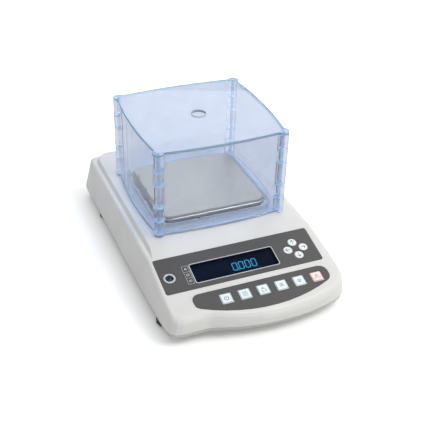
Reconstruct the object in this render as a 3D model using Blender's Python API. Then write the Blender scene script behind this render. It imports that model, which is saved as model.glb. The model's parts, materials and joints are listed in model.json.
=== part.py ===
"""Top-loading precision balance with a clear draft shield, in metres, +Z up.

The front faces -Y and the display panel slopes down to it. The origin lies on the table,
under the middle of the whole balance. Everything on the sloped panel is placed in the
panel's own frame: x across, y up the slope, z out of the panel.
"""

import math

import bmesh
import bpy
from mathutils import Matrix, Vector

# Fits
GAP = 0.0003
OVERRUN = 0.004

# Housing in plan
HALF_WIDTH = 0.105
BACK = 0.1675
FRONT = 0.1675
BACK_CORNER = 0.010
SIDE_BOW_START = -0.060
SIDE_BOW_RADIUS = 1.200
FLAT_FRONT = 0.1524
LEFT_CORNER = 0.012
KINK_RADIUS = 0.025
NOSE_SHIFT = 0.020
NOSE_RADIUS = 0.211
RIGHT_CORNER = 0.030

# Housing in height
BOTTOM = 0.006
SEAM = 0.015
SHOULDER = 0.052
DECK = 0.056
SHOULDER_INSET = 0.0075
SHOULDER_HALF_WIDTH = HALF_WIDTH - SHOULDER_INSET
SHOULDER_BACK = 0.1635
PLATEAU_INSET = 0.017
PLATEAU_HALF_WIDTH = HALF_WIDTH - PLATEAU_INSET
PLATEAU_BACK = 0.1655
PLATEAU_CORNER = 0.022
PLATEAU_COVE = 0.004
PANEL_TOP = -0.052
PANEL_SLOPE_SHARE = 0.2383
BREAK_ROUND = 0.060
NOSE_ROUND = 0.0062
EDGE_ROUND = 0.0032
WALL = 0.0025

# Lower housing
TRAY_TAPER = 0.0022
TRAY_CHAMFER = 0.0015
TRAY_WALL = 0.0042
TRAY_FLOOR = 0.0025
BELLY_START = -0.1165
BELLY_RISE = 0.006
LIP_THICKNESS = 0.0012
LIP_DEPTH = 0.003
LIP_HEIGHT = 0.0024
RIB_WIDTH = 0.002
RIB_HEIGHT = 0.005
RIB_ACROSS_SHARES = (-0.42, -0.05, 0.40)

# Housing screws, which pull the tray up against the bosses of the upper shell
SCREW_INSET = 0.017
SCREW_SIDE = HALF_WIDTH - SCREW_INSET
SCREW_ROWS = (-0.128, 0.145)
BOSS_RADIUS = 0.0035
POST_RADIUS = 0.0045
SCREW_RADIUS = 0.0015
SCREW_BITE = 0.009
SCREW_HEAD_RADIUS = 0.0028
SCREW_HEAD_HEIGHT = 0.002

# Feet
FOOT_INSET = 0.0135
FOOT_SIDE = HALF_WIDTH - FOOT_INSET
FOOT_ROWS = (-0.112, 0.102)
FOOT_RADIUS = 0.0115
FOOT_GROOVE = 0.0006
FOOT_TEETH = 12
FOOT_CHAMFER = 0.0008
PAD_RADIUS = 0.009
PAD_HEIGHT = 0.0016
STUD_RADIUS = 0.003
STUD_LENGTH = 0.009
FOOT_BOSS_WALL = 0.003
FOOT_BOSS_HEIGHT = 0.0075

# Panel frame: distances down the slope from the line where panel and deck meet
FILM = 0.0008
FILM_PROUD = 0.00015
DISPLAY_INSET = 0.0144
DISPLAY_HALF_WIDTH = HALF_WIDTH - DISPLAY_INSET
DISPLAY_SHIFT = -0.0025
DISPLAY_TOP = 0.0195
DISPLAY_HEIGHT = 0.0477
DISPLAY_CORNER = 0.0022
WINDOW_LEFT = -0.057
WINDOW_WIDTH = 0.0956
WINDOW_DROP = 0.0157
WINDOW_HEIGHT = 0.0248
WINDOW_CORNER = 0.0015
PANE_MARGIN = 0.0015
PANE = 0.0016
MODULE_MARGIN = 0.003
MODULE_TOP_CHAMFER = 0.0006
LEVEL_X = -0.083
LEVEL_DROP = 0.0274
LEVEL_RADIUS = 0.0064
LEVEL_LIP = 0.0008
LEVEL_LIP_PROUD = 0.0004
LEVEL_WALL = 0.0010
LEVEL_DEPTH = 0.009
VIAL_RADIUS = 0.0038
VIAL_HEIGHT = 0.005
VIAL_DOME = 0.0006
KEYPAD_DROP = 0.0745
KEYPAD_LEFT = -0.070
KEYPAD_RIGHT = 0.085
KEYPAD_LEFT_END_RADIUS = 0.0075
KEYPAD_RIGHT_END_RADIUS = 0.0085
KEYPAD_BOW_X = 0.010
KEYPAD_BOW_RADIUS = 0.178
KEYPAD_BOW_DROP = 0.1095

# Keys
KEY_FIRST = -0.035
KEY_PITCH = 0.021
KEY_COUNT = 6
KEY_DROP = 0.0878
KEY_HALF = 0.0064
KEY_CORNER = 0.0010
ARROW_X = 0.0648
ARROW_DROP = 0.0451
ARROW_REACH = 0.0093
ARROW_RADIUS = 0.0050
KEY_PROUD = 0.0004
KEY_EDGE = 0.0004
KEY_FLANGE = 0.0008
KEY_FLANGE_WIDTH = 0.0007
KEY_TRAVEL = 0.0005
KEY_STEM_RADIUS = 0.0016
KEY_STEM_LENGTH = 0.0025
SWITCH_HALF = 0.003
SWITCH_HEIGHT = 0.0035

# Boards under the panel
BOARD = 0.0016
BOARD_FACE = 0.007
DISPLAY_BOARD_LEFT = -0.064
DISPLAY_BOARD_RIGHT = 0.082
DISPLAY_BOARD_MARGIN = 0.0035
KEYPAD_BOARD_MARGIN = 0.011
KEYPAD_BOARD_HALF = 0.0095
BOARD_PIN_INSET = 0.0045
BOARD_BOSS_RADIUS = 0.0022
BOARD_PIN_RADIUS = 0.0010
BOARD_PIN_PROUD = 0.0008

# Weighing plate and what carries it
PLATE_Y = 0.0353
PLATE_HALF_WIDTH = 0.0625
PLATE_HALF_DEPTH = 0.0585
PLATE_CORNER = 0.010
PLATE_TOP = 0.0687
PLATE_SHEET = 0.0012
PLATE_STEP = 0.0010
PLATE_STEP_HEIGHT = 0.0028
PLATE_RIM = 0.0066
PLATE_EDGE_ROUND = 0.0012
BUFFER_RADIUS = 0.005
BUFFER_HEIGHT = 0.003
CARRIER_THICKNESS = 0.004
CARRIER_REACH = (0.046, 0.042)
CARRIER_ARM = 0.014
CARRIER_HUB_RADIUS = 0.016
CARRIER_HUB_EXTRA = 0.0010
POST_TOP_RADIUS = 0.009
POST_FOOT_RADIUS = 0.007
POST_STEP = 0.003
POST_HOLE_RADIUS = 0.013
COLLAR_WALL = 0.0025
COLLAR_HEIGHT = 0.0020
CELL_WIDTH = 0.026
CELL_HEIGHT = 0.022
CELL_FRONT_OVERHANG = 0.016
CELL_LENGTH = 0.122
CELL_HOLE_RADIUS = 0.0065
CELL_HOLE_SPREAD = 0.034
CELL_SLOT = 0.004
CELL_SCREW_RADIUS = 0.0025
CELL_SCREW_HEAD = 0.0042
CELL_SCREW_HEAD_HEIGHT = 0.004
CELL_SCREW_SPREAD = 0.014
CELL_SCREW_BITE = 0.005
POST_STUD_RADIUS = 0.003
POST_STUD_BITE = 0.005
CELL_CLAMP_LENGTH = 0.030
ADAPTER_HEIGHT = 0.004
ADAPTER_LENGTH = 0.028
MOUNT_MARGIN = 0.006
MOUNT_EDGE = 0.001
STOP_RADIUS = 0.003
STOP_BASE_RADIUS = 0.0055
STOP_BASE_HEIGHT = 0.004
STOP_PLAY = 0.0005

# Draft shield
POST_X = 0.072
POST_Y = 0.0695
KNUCKLE_RADIUS = 0.00625
KNUCKLE_LEVEL_SHARES = (0.0, 0.17, 0.345, 0.63, 0.80, 1.0)
PANEL_WALL = 0.0025
SIDE_FACE = 0.074
FRONT_FACE = 0.0715
SIDE_BOW = 0.0052
FRONT_BOW = 0.0040
FRAME_LEDGE = 0.0027
FRAME_SEAT = 0.0006
FRAME_RIM = 0.0018
FRAME_RIM_HEIGHT = 0.005
FRAME_PLAY = 0.0047
FRAME_MARGIN = 0.0008
FRAME_INNER_CORNER = 0.014
CLIP_X = 0.0227
CLIP_WIDTH = 0.0032
CLIP_DEPTH = 0.0022
LID = 0.003
LID_TOP = 0.160
LID_RELIEF = 0.0003
LID_HOLE_RADIUS = 0.0085
PIN_RADIUS = 0.0016
PEG_LENGTH = 0.004

# Electronics on the tray
MAIN_BOARD_LEFT = 0.026
MAIN_BOARD_WIDTH = 0.054
MAIN_BOARD_FRONT = -0.060
MAIN_BOARD_LENGTH = 0.140
MAIN_BOARD_HEIGHT = 0.016
IO_BOARD_LEFT = -0.078
IO_BOARD_WIDTH = 0.058
IO_BOARD_LENGTH = 0.030
IO_BOARD_HEIGHT = 0.0205
STANDOFF_RADIUS = 0.003
STANDOFF_INSET = 0.005
JACK_X = -0.066
JACK_HALF = 0.0055
JACK_BORE = 0.0032
JACK_PIN = 0.0010
JACK_LENGTH = 0.014
JACK_BORE_DEPTH = 0.009
SERIAL_X = -0.038
SERIAL_HALF_WIDTH = 0.0083
SERIAL_HALF_HEIGHT = 0.0042
SERIAL_SLANT = 0.0010
SERIAL_CORNER = 0.0018
SERIAL_WALL = 0.0010
SERIAL_DEPTH = 0.006
SERIAL_BODY_HALF_WIDTH = 0.0135
SERIAL_BODY_HALF_HEIGHT = 0.0055
SERIAL_BODY_LENGTH = 0.009
REAR_PROUD = 0.0006
CHIP_PLACE_SHARES = ((0.30, 0.25), (0.70, 0.30), (0.35, 0.62), (0.72, 0.80))
CHIP_HALF = 0.007
CHIP_HEIGHT = 0.003

# Facets
ROUND_SIDES = 16
SMALL_SIDES = 8
CORNER_STEPS = 3
NOSE_STEPS = 11
BOW_STEPS = 6
BEVEL_SEGMENTS = 3

PANEL_SLOPE = math.atan(PANEL_SLOPE_SHARE)


def arc(centre, radius, start, end, steps):
    """Points of an arc about a centre; the angles are in radians."""
    turn = (end - start) / steps
    angles = [start + turn * i for i in range(steps + 1)]
    return [(centre[0] + radius * math.cos(a), centre[1] + radius * math.sin(a)) for a in angles]


def circle(radius, sides, centre=(0, 0)):
    """Points of a full circle, each once."""
    return arc(centre, radius, 0, math.tau, sides)[:-1]


def lifted(outline, height):
    """A flat outline at one height."""
    return [(x, y, height) for x, y in outline]


def loft(rings, closed=False):
    """A skin through rings of equally many points: capped at both ends, or closed on itself."""
    bm = bmesh.new()
    loops = [[bm.verts.new(point) for point in ring] for ring in rings]
    pairs = list(zip(loops, loops[1:]))
    if closed:
        pairs.append((loops[-1], loops[0]))
    else:
        bm.faces.new(list(reversed(loops[0])))
        bm.faces.new(loops[-1])
    for low, high in pairs:
        for i, corner in enumerate(low):
            j = (i + 1) % len(low)
            bm.faces.new((corner, low[j], high[j], high[i]))
    bmesh.ops.recalc_face_normals(bm, faces=bm.faces)
    return bm


def prism(outline, low, high):
    """A straight block of one outline."""
    return loft([lifted(outline, low), lifted(outline, high)])


def box(low, high):
    """A block between two corners."""
    outline = [(low[0], low[1]), (high[0], low[1]), (high[0], high[1]), (low[0], high[1])]
    return prism(outline, low[2], high[2])


def turned(profile, sides):
    """A turned piece from pairs of radius and height; a zero radius is left to the end caps."""
    return loft([lifted(circle(radius, sides), height) for radius, height in profile])


def merged(shapes):
    """Several separate solids in one mesh."""
    bm = bmesh.new()
    for shape in shapes:
        piece = bpy.data.meshes.new("piece")
        shape.to_mesh(piece)
        shape.free()
        bm.from_mesh(piece)
        bpy.data.meshes.remove(piece)
    return bm


def moved(bm, x=0, y=0, z=0):
    """The same mesh at another place."""
    bmesh.ops.translate(bm, verts=bm.verts, vec=(x, y, z))
    return bm


def turned_about(bm, axis, angle, centre=(0, 0, 0)):
    """The same mesh turned about an axis through a centre."""
    bmesh.ops.rotate(bm, verts=bm.verts, cent=centre, matrix=Matrix.Rotation(angle, 3, axis))
    return bm


def sliced(bm, point, normal):
    """The mesh with all that lies beyond a plane cut away and the cut closed."""
    geometry = bm.verts[:] + bm.edges[:] + bm.faces[:]
    cut = bmesh.ops.bisect_plane(bm, geom=geometry, plane_co=point, plane_no=normal,
                                 dist=GAP / ROUND_SIDES, clear_outer=True)
    rim = [edge for edge in cut["geom_cut"] if isinstance(edge, bmesh.types.BMEdge)]
    bmesh.ops.edgeloop_fill(bm, edges=rim)
    return bm


def material(name, colour, roughness, metallic=0, transmission=0):
    """A plain Principled BSDF finish."""
    finish = bpy.data.materials.new(name)
    finish.use_nodes = True
    shader = finish.node_tree.nodes["Principled BSDF"]
    shader.inputs["Base Color"].default_value = (*colour, 1)
    shader.inputs["Roughness"].default_value = roughness
    shader.inputs["Metallic"].default_value = metallic
    shader.inputs["Transmission Weight"].default_value = transmission
    finish.diffuse_color = (*colour, 1)
    return finish


def add_object(name, bm, finish=None, at=(0, 0, 0), parent=None):
    """An object from a mesh, with round sides shaded smooth."""
    shape = bpy.data.meshes.new(name)
    bm.normal_update()
    bm.to_mesh(shape)
    bm.free()
    shape.shade_smooth()
    shape.set_sharp_from_angle(angle=math.radians(35))
    if finish:
        shape.materials.append(finish)
    obj = bpy.data.objects.new(name, shape)
    bpy.context.scene.collection.objects.link(obj)
    obj.location = at
    obj.parent = parent
    return obj


def boolean(obj, operation, bm, name, parent=None):
    """A Boolean modifier on an object, with its hidden second shape."""
    other = add_object(name, bm, parent=parent)
    other.hide_render = True
    other.display_type = "WIRE"
    step = obj.modifiers.new(name, "BOOLEAN")
    step.operation = operation
    step.object = other
    return other


def settle(obj):
    """Fix an object's modifiers into its mesh, so that later steps can reach the result."""
    bpy.context.view_layer.update()
    view = bpy.context.evaluated_depsgraph_get()
    shape = bpy.data.meshes.new_from_object(obj.evaluated_get(view))
    for step in list(obj.modifiers):
        other = getattr(step, "object", None)
        obj.modifiers.remove(step)
        if other:
            bpy.data.objects.remove(other)
    obj.data = shape
    return obj


def taken_out(obj):
    """An object's mesh as a bmesh, with the object itself removed."""
    bm = bmesh.new()
    bm.from_mesh(obj.data)
    bpy.data.objects.remove(obj)
    return bm


# The housing's outer form

def plan_outline(inset=0):
    """The housing's outline at the seam, counter-clockwise, drawn in by an inset."""
    bow = Vector((SIDE_BOW_RADIUS - HALF_WIDTH, SIDE_BOW_START))
    bow_end = math.asin((FLAT_FRONT + SIDE_BOW_START - LEFT_CORNER) / (SIDE_BOW_RADIUS - LEFT_CORNER))
    to_corner = Vector((-math.cos(bow_end), -math.sin(bow_end)))
    left = bow + to_corner * (SIDE_BOW_RADIUS - LEFT_CORNER)
    nose = Vector((NOSE_SHIFT, NOSE_RADIUS - FRONT))
    kink_y = -FLAT_FRONT - KINK_RADIUS
    kink_reach = math.sqrt((NOSE_RADIUS + KINK_RADIUS) ** 2 - (nose.y - kink_y) ** 2)
    kink = Vector((nose.x - kink_reach, kink_y))
    kink_angle = math.atan2(nose.y - kink.y, nose.x - kink.x)
    right_x = HALF_WIDTH - RIGHT_CORNER
    right_reach = math.sqrt((NOSE_RADIUS - RIGHT_CORNER) ** 2 - (right_x - nose.x) ** 2)
    right = Vector((right_x, nose.y - right_reach))
    right_angle = math.atan2(right.y - nose.y, right.x - nose.x)
    half = math.pi / 2
    back_y = BACK - BACK_CORNER
    back_x = HALF_WIDTH - BACK_CORNER
    points = arc(left, LEFT_CORNER - inset, bow_end - math.pi, -half, CORNER_STEPS)
    points += arc(kink, KINK_RADIUS + inset, half, kink_angle, CORNER_STEPS)
    points += arc(nose, NOSE_RADIUS - inset, kink_angle - math.pi, right_angle, NOSE_STEPS)[1:]
    points += arc(right, RIGHT_CORNER - inset, right_angle, 0, CORNER_STEPS + 1)[1:]
    points += arc((back_x, back_y), BACK_CORNER - inset, 0, half, CORNER_STEPS)
    points += arc((-back_x, back_y), BACK_CORNER - inset, half, math.pi, CORNER_STEPS)
    points += arc(bow, SIDE_BOW_RADIUS - inset, math.pi, math.pi + bow_end, CORNER_STEPS)[:-1]
    return points


def drafted(outline, height):
    """An outline of the upper walls, which lean inwards from the seam to the shoulder."""
    share = (height - SEAM) / (SHOULDER - SEAM)
    narrow = 1 - share * (1 - SHOULDER_HALF_WIDTH / HALF_WIDTH)
    shorten = 1 - share * (1 - SHOULDER_BACK / BACK)
    return [(x * narrow, y * (shorten if y > 0 else 1), height) for x, y in outline]


def plateau_ring(grow, height):
    """The deck's raised field: square in front, where the panel cuts it, and round behind."""
    half = PLATEAU_HALF_WIDTH + grow
    corner = PLATEAU_CORNER + grow
    back = PLATEAU_BACK + grow - corner
    quarter = math.pi / 2
    points = [(-half, -FRONT - OVERRUN), (half, -FRONT - OVERRUN)]
    points += arc((half - corner, back), corner, 0, quarter, CORNER_STEPS + 2)
    points += arc((corner - half, back), corner, quarter, math.pi, CORNER_STEPS + 2)
    return lifted(points, height)


def shoulder_cutter(inset):
    """All above the shoulder outside the deck's field, with the cove that leads up to it."""
    rings = []
    rise = DECK - SHOULDER
    for i in range(CORNER_STEPS + 2):
        share = i / (CORNER_STEPS + 1)
        height = SHOULDER + rise * share * share * (3 - 2 * share) - inset
        rings.append(plateau_ring(PLATEAU_COVE * (1 - share) - inset, height))
    rings.append(plateau_ring(-inset, DECK + OVERRUN + OVERRUN))
    rings.append(plateau_ring(HALF_WIDTH, DECK + OVERRUN + OVERRUN))
    rings.append(plateau_ring(HALF_WIDTH, SHOULDER - inset))
    return loft(rings, closed=True)


def round_weight(edge, inset):
    """How far a top edge is rounded, as a share of the nose's own rounding."""
    if len(edge.link_faces) != 2:
        return 0
    top, wall = sorted((face.normal for face in edge.link_faces), key=lambda n: -n.z)
    if top.z < 0.5 or abs(wall.z) > 0.4 or wall.dot(top) > 0.5 or wall.y > 0.5:
        return 0
    forward = min(1, max(0, -wall.y))
    radius = EDGE_ROUND + (NOSE_ROUND - EDGE_ROUND) * forward
    return max(0, radius - inset) / NOSE_ROUND


def housing_form(inset, foot):
    """The upper housing as a solid, drawn in by an inset: walls, shoulder, deck and panel."""
    outline = plan_outline(inset)
    walls = loft([drafted(outline, foot), drafted(outline, DECK + OVERRUN)])
    body = add_object("form", walls)
    boolean(body, "DIFFERENCE", shoulder_cutter(inset), "shoulder_cut")
    bm = taken_out(settle(body))
    sliced(bm, (0, 0, DECK - inset), (0, 0, 1))
    half_turn = PANEL_SLOPE / 2
    centre_y = PANEL_TOP + BREAK_ROUND * math.tan(half_turn)
    centre = Vector((0, centre_y, DECK - BREAK_ROUND))
    for share in (0.25, 0.5, 0.75, 1):
        angle = PANEL_SLOPE * share
        normal = Vector((0, -math.sin(angle), math.cos(angle)))
        sliced(bm, centre + normal * (BREAK_ROUND - inset), normal)
    bmesh.ops.remove_doubles(bm, verts=bm.verts, dist=GAP / SMALL_SIDES)
    bm.normal_update()
    weights = bm.edges.layers.float.new("bevel_weight_edge")
    for edge in bm.edges:
        edge[weights] = round_weight(edge, inset)
    body = add_object("form", bm)
    bevel = body.modifiers.new("round", "BEVEL")
    bevel.width = NOSE_ROUND
    bevel.limit_method = "WEIGHT"
    bevel.segments = BEVEL_SEGMENTS
    bevel.use_clamp_overlap = False
    return taken_out(settle(body))


def tray_form(inset, floor, top):
    """The lower housing as a solid: it tapers down to its bottom edge and rises at the nose."""
    low = BOTTOM + floor
    chamfer = TRAY_CHAMFER if floor == 0 else 0
    rings = [lifted(plan_outline(inset + TRAY_TAPER + chamfer), low)]
    rings.append(lifted(plan_outline(inset + TRAY_TAPER), low + TRAY_CHAMFER))
    rings.append(lifted(plan_outline(inset), SEAM - GAP / 2))
    if top > SEAM:
        rings.append(lifted(plan_outline(inset), top))
    bm = loft(rings)
    rise = math.atan2(BELLY_RISE, FRONT + BELLY_START)
    normal = (0, -math.sin(rise), -math.cos(rise))
    return sliced(bm, (0, BELLY_START, low), normal)


# Frames and outlines on the panel

def panel_frame():
    """The empty that carries all that sits on the sloped panel."""
    frame = bpy.data.objects.new("panel_frame", None)
    bpy.context.scene.collection.objects.link(frame)
    frame.location = (0, PANEL_TOP, DECK)
    frame.rotation_euler = (PANEL_SLOPE, 0, 0)
    return frame


def rounded_rectangle(half_x, half_y, radius, centre=(0, 0), steps=CORNER_STEPS):
    """A rectangle with round corners, counter-clockwise."""
    quarter = math.pi / 2
    points = []
    for turn, (sx, sy) in enumerate(((1, 1), (-1, 1), (-1, -1), (1, -1))):
        corner = (centre[0] + sx * (half_x - radius), centre[1] + sy * (half_y - radius))
        points += arc(corner, radius, quarter * turn, quarter * (turn + 1), steps)
    return points


def display_centre():
    """The middle of the display overlay."""
    return (DISPLAY_SHIFT, -DISPLAY_TOP - DISPLAY_HEIGHT / 2)


def window_centre():
    """The middle of the window."""
    return (WINDOW_LEFT + WINDOW_WIDTH / 2, -DISPLAY_TOP - WINDOW_DROP - WINDOW_HEIGHT / 2)


def display_outline(grow=0):
    """The display overlay's outline."""
    return rounded_rectangle(DISPLAY_HALF_WIDTH + grow, DISPLAY_HEIGHT / 2 + grow,
                             DISPLAY_CORNER + grow, display_centre())


def window_outline(grow=0):
    """The window's outline, grown for the pane under the film."""
    return rounded_rectangle(WINDOW_WIDTH / 2 + grow, WINDOW_HEIGHT / 2 + grow,
                             WINDOW_CORNER + grow, window_centre(), 2)


def keypad_outline(grow=0):
    """The keypad overlay: a straight upper edge, round ends and a bowed lower edge."""
    bow = Vector((KEYPAD_BOW_X, KEYPAD_BOW_RADIUS - KEYPAD_BOW_DROP))
    ends = []
    for x, radius, side in ((KEYPAD_LEFT, KEYPAD_LEFT_END_RADIUS, 1),
                            (KEYPAD_RIGHT, KEYPAD_RIGHT_END_RADIUS, -1)):
        high = Vector((x + side * radius, -KEYPAD_DROP - radius))
        drop = math.sqrt((KEYPAD_BOW_RADIUS - radius) ** 2 - (high.x - bow.x) ** 2)
        ends.append((high, Vector((high.x, bow.y - drop)), radius))
    (left, left_low, left_radius), (right, right_low, right_radius) = ends
    quarter = math.pi / 2
    left_bow = math.atan2(left_low.y - bow.y, left_low.x - bow.x)
    right_bow = math.atan2(right_low.y - bow.y, right_low.x - bow.x)
    points = arc(left, left_radius + grow, quarter, math.pi, CORNER_STEPS)
    points += arc(left_low, left_radius + grow, math.pi, math.tau + left_bow, CORNER_STEPS)[1:]
    points += arc(bow, KEYPAD_BOW_RADIUS + grow, left_bow, right_bow, NOSE_STEPS)[1:]
    points += arc(right_low, right_radius + grow, right_bow, 0, CORNER_STEPS)[1:]
    points += arc(right, right_radius + grow, 0, quarter, CORNER_STEPS)
    return points


def key_places():
    """Centres of the square keys, from left to right."""
    return [(KEY_FIRST + KEY_PITCH * i, -KEY_DROP) for i in range(KEY_COUNT)]


def arrow_places():
    """Centres of the round keys: right, up, left and down."""
    places = []
    for name, x, y in (("right", 1, 0), ("up", 0, 1), ("left", -1, 0), ("down", 0, -1)):
        places.append((name, ARROW_X + ARROW_REACH * x, -ARROW_DROP + ARROW_REACH * y))
    return places


def square_key_outline(centre, grow=0):
    """A square key's outline."""
    return rounded_rectangle(KEY_HALF + grow, KEY_HALF + grow, KEY_CORNER + grow, centre, 2)


def display_board_holes():
    """Pin places of the display board."""
    low = -DISPLAY_TOP - DISPLAY_HEIGHT - DISPLAY_BOARD_MARGIN + BOARD_PIN_INSET
    high = -DISPLAY_TOP + DISPLAY_BOARD_MARGIN - BOARD_PIN_INSET
    left = DISPLAY_BOARD_LEFT + BOARD_PIN_INSET
    right = DISPLAY_BOARD_RIGHT - BOARD_PIN_INSET
    return [(left, low), (left, high), (right, low), (right, high)]


def keypad_board_holes():
    """Pin places of the keypad board, halfway between keys."""
    half = KEY_PITCH / 2
    steps = (0, KEY_COUNT // 2 - 1, KEY_COUNT - 2)
    return [(KEY_FIRST + KEY_PITCH * i + half, -KEY_DROP) for i in steps]


def board_holes():
    """Pin places of both boards under the panel."""
    return display_board_holes() + keypad_board_holes()


def pillars(places, radius, low, high, sides=SMALL_SIDES):
    """Round posts of one size at several places."""
    return merged([prism(circle(radius, sides, place), low, high) for place in places])


# Upper housing

def housing_screw_places():
    """The screws that close the housing, one near each corner."""
    return [(side * SCREW_SIDE, y) for y in SCREW_ROWS for side in (-1, 1)]


def io_centre_height():
    """Height of the rear sockets' middle line."""
    return IO_BOARD_HEIGHT + BOARD + GAP + SERIAL_BODY_HALF_HEIGHT


def serial_outline(grow=0):
    """The D-shaped socket's outline, wider at the top, with x across and y upwards."""
    low = SERIAL_HALF_WIDTH - SERIAL_SLANT
    corner = SERIAL_CORNER + grow
    tall = SERIAL_HALF_HEIGHT + grow - corner
    quarter = math.pi / 2
    points = []
    for turn, (x, y) in enumerate(((SERIAL_HALF_WIDTH, 1), (-SERIAL_HALF_WIDTH, 1),
                                   (-low, -1), (low, -1))):
        side = x + math.copysign(grow, x) - math.copysign(corner, x)
        points += arc((side, tall * y), corner, quarter * turn, quarter * (turn + 1), 2)
    return points


def upright(outline, x, z, low, high):
    """A block of an outline that stands upright, from one depth to another along Y."""
    rings = [[(x + px, depth, z + py) for px, py in outline] for depth in (high, low)]
    return loft(rings)


def rear_openings():
    """Cutter for the sockets in the rear wall."""
    high = io_centre_height()
    low = SHOULDER_BACK - OVERRUN - WALL
    jack = rounded_rectangle(JACK_HALF + GAP, JACK_HALF + GAP, SERIAL_CORNER, (0, 0), 2)
    return merged([upright(jack, JACK_X, high, low, BACK + OVERRUN),
                   upright(serial_outline(GAP), SERIAL_X, high, low, BACK + OVERRUN)])


def make_upper_housing(frame):
    """The moulded upper shell with its bosses, recesses and openings."""
    cream = material("upper_housing_plastic", (0.74, 0.73, 0.69), 0.45)
    shell = add_object("upper_housing", housing_form(0, SEAM + GAP / 2), cream)
    cavity = boolean(shell, "DIFFERENCE", housing_form(WALL, SEAM - OVERRUN), "cavity_cut")
    boolean(cavity, "DIFFERENCE",
            pillars(housing_screw_places(), BOSS_RADIUS, SEAM + GAP / 2, DECK + OVERRUN, SMALL_SIDES),
            "boss_keep")
    boolean(cavity, "DIFFERENCE",
            pillars(board_holes(), BOARD_BOSS_RADIUS, -BOARD_FACE + GAP, OVERRUN), "board_boss_keep", frame)
    boolean(cavity, "DIFFERENCE",
            pillars(board_holes(), BOARD_PIN_RADIUS, -BOARD_FACE - BOARD - BOARD_PIN_PROUD,
                    OVERRUN - BOARD_FACE), "board_pin_keep", frame)
    boolean(shell, "DIFFERENCE",
            pillars(housing_screw_places(), SCREW_RADIUS + GAP, SEAM - OVERRUN,
                    SEAM + SCREW_BITE + GAP), "screw_cut")
    recess = FILM + GAP - FILM_PROUD
    boolean(shell, "DIFFERENCE",
            merged([prism(display_outline(GAP), -recess, OVERRUN),
                    prism(keypad_outline(GAP), -recess, OVERRUN)]), "overlay_cut", frame)
    deep = -WALL - OVERRUN
    shallow = OVERRUN + OVERRUN
    flange = KEY_FLANGE_WIDTH + GAP
    holes = [prism(window_outline(PANE_MARGIN + GAP), deep, shallow)]
    holes += [prism(square_key_outline(place, flange), deep, shallow) for place in key_places()]
    holes += [prism(circle(ARROW_RADIUS + flange, ROUND_SIDES, (x, y)), deep, shallow)
              for _, x, y in arrow_places()]
    level = (LEVEL_X, -DISPLAY_TOP - LEVEL_DROP)
    holes.append(prism(circle(LEVEL_RADIUS - LEVEL_LIP + GAP, ROUND_SIDES, level), deep, shallow))
    boolean(shell, "DIFFERENCE", merged(holes), "panel_holes_cut", frame)
    collar = POST_HOLE_RADIUS + COLLAR_WALL
    boolean(shell, "UNION",
            prism(circle(collar, ROUND_SIDES, (0, PLATE_Y)), DECK - WALL / 2, DECK + COLLAR_HEIGHT),
            "collar_add")
    boolean(shell, "DIFFERENCE",
            prism(circle(POST_HOLE_RADIUS, ROUND_SIDES, (0, PLATE_Y)), DECK - WALL - OVERRUN,
                  DECK + COLLAR_HEIGHT + OVERRUN), "post_hole_cut")
    boolean(shell, "DIFFERENCE", rear_openings(), "rear_cut")
    return shell


# Lower housing

def foot_places():
    """Names and centres of the four feet."""
    front, rear = FOOT_ROWS
    return (("front_left", -FOOT_SIDE, front), ("front_right", FOOT_SIDE, front),
            ("rear_left", -FOOT_SIDE, rear), ("rear_right", FOOT_SIDE, rear))


def floor_top():
    """Upper side of the tray's floor."""
    return BOTTOM + TRAY_FLOOR


def main_board_holes():
    """Pin places of the main board."""
    left = MAIN_BOARD_LEFT + STANDOFF_INSET
    right = MAIN_BOARD_LEFT + MAIN_BOARD_WIDTH - STANDOFF_INSET
    front = MAIN_BOARD_FRONT + STANDOFF_INSET
    rear = MAIN_BOARD_FRONT + MAIN_BOARD_LENGTH - STANDOFF_INSET
    return [(x, y) for x in (left, right) for y in (front, rear)]


def io_board_rear():
    """Rear edge of the connector board, just inside the rear wall."""
    share = (IO_BOARD_HEIGHT - SEAM) / (SHOULDER - SEAM)
    return BACK - (BACK - SHOULDER_BACK) * share - WALL - FILM


def io_board_holes():
    """Pin places of the connector board, along its front edge."""
    front = io_board_rear() - IO_BOARD_LENGTH + STANDOFF_INSET
    left = IO_BOARD_LEFT + STANDOFF_INSET
    right = IO_BOARD_LEFT + IO_BOARD_WIDTH - STANDOFF_INSET
    return [(left, front), (right, front)]


def tray_posts():
    """What stands up from the tray's floor: screw posts, foot bosses and board standoffs."""
    low = BOTTOM - OVERRUN
    posts = [prism(circle(POST_RADIUS, SMALL_SIDES, place), low, SEAM - GAP)
             for place in housing_screw_places()]
    boss = STUD_RADIUS + FOOT_BOSS_WALL
    top = floor_top() + FOOT_BOSS_HEIGHT
    posts += [prism(circle(boss, ROUND_SIDES, (x, y)), low, top) for _, x, y in foot_places()]
    posts += [prism(circle(STANDOFF_RADIUS, SMALL_SIDES, place), low, MAIN_BOARD_HEIGHT - GAP)
              for place in main_board_holes()]
    posts += [prism(circle(STANDOFF_RADIUS, SMALL_SIDES, place), low, IO_BOARD_HEIGHT - GAP)
              for place in io_board_holes()]
    return merged(posts)


def tray_pins():
    """Pins on the standoffs, which the boards drop over."""
    low = BOTTOM - OVERRUN - OVERRUN
    return merged([pillars(main_board_holes(), BOARD_PIN_RADIUS, low,
                           MAIN_BOARD_HEIGHT + BOARD + BOARD_PIN_PROUD),
                   pillars(io_board_holes(), BOARD_PIN_RADIUS, low,
                           IO_BOARD_HEIGHT + BOARD + BOARD_PIN_PROUD)])


def rib_slabs():
    """Cross ribs that stiffen the tray's floor."""
    slabs = []
    top = floor_top() + RIB_HEIGHT
    for share in RIB_ACROSS_SHARES:
        y = FRONT * share
        slabs.append(box((-HALF_WIDTH, y - RIB_WIDTH / 2, BOTTOM - OVERRUN),
                         (HALF_WIDTH, y + RIB_WIDTH / 2, top)))
    return merged(slabs)


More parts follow.
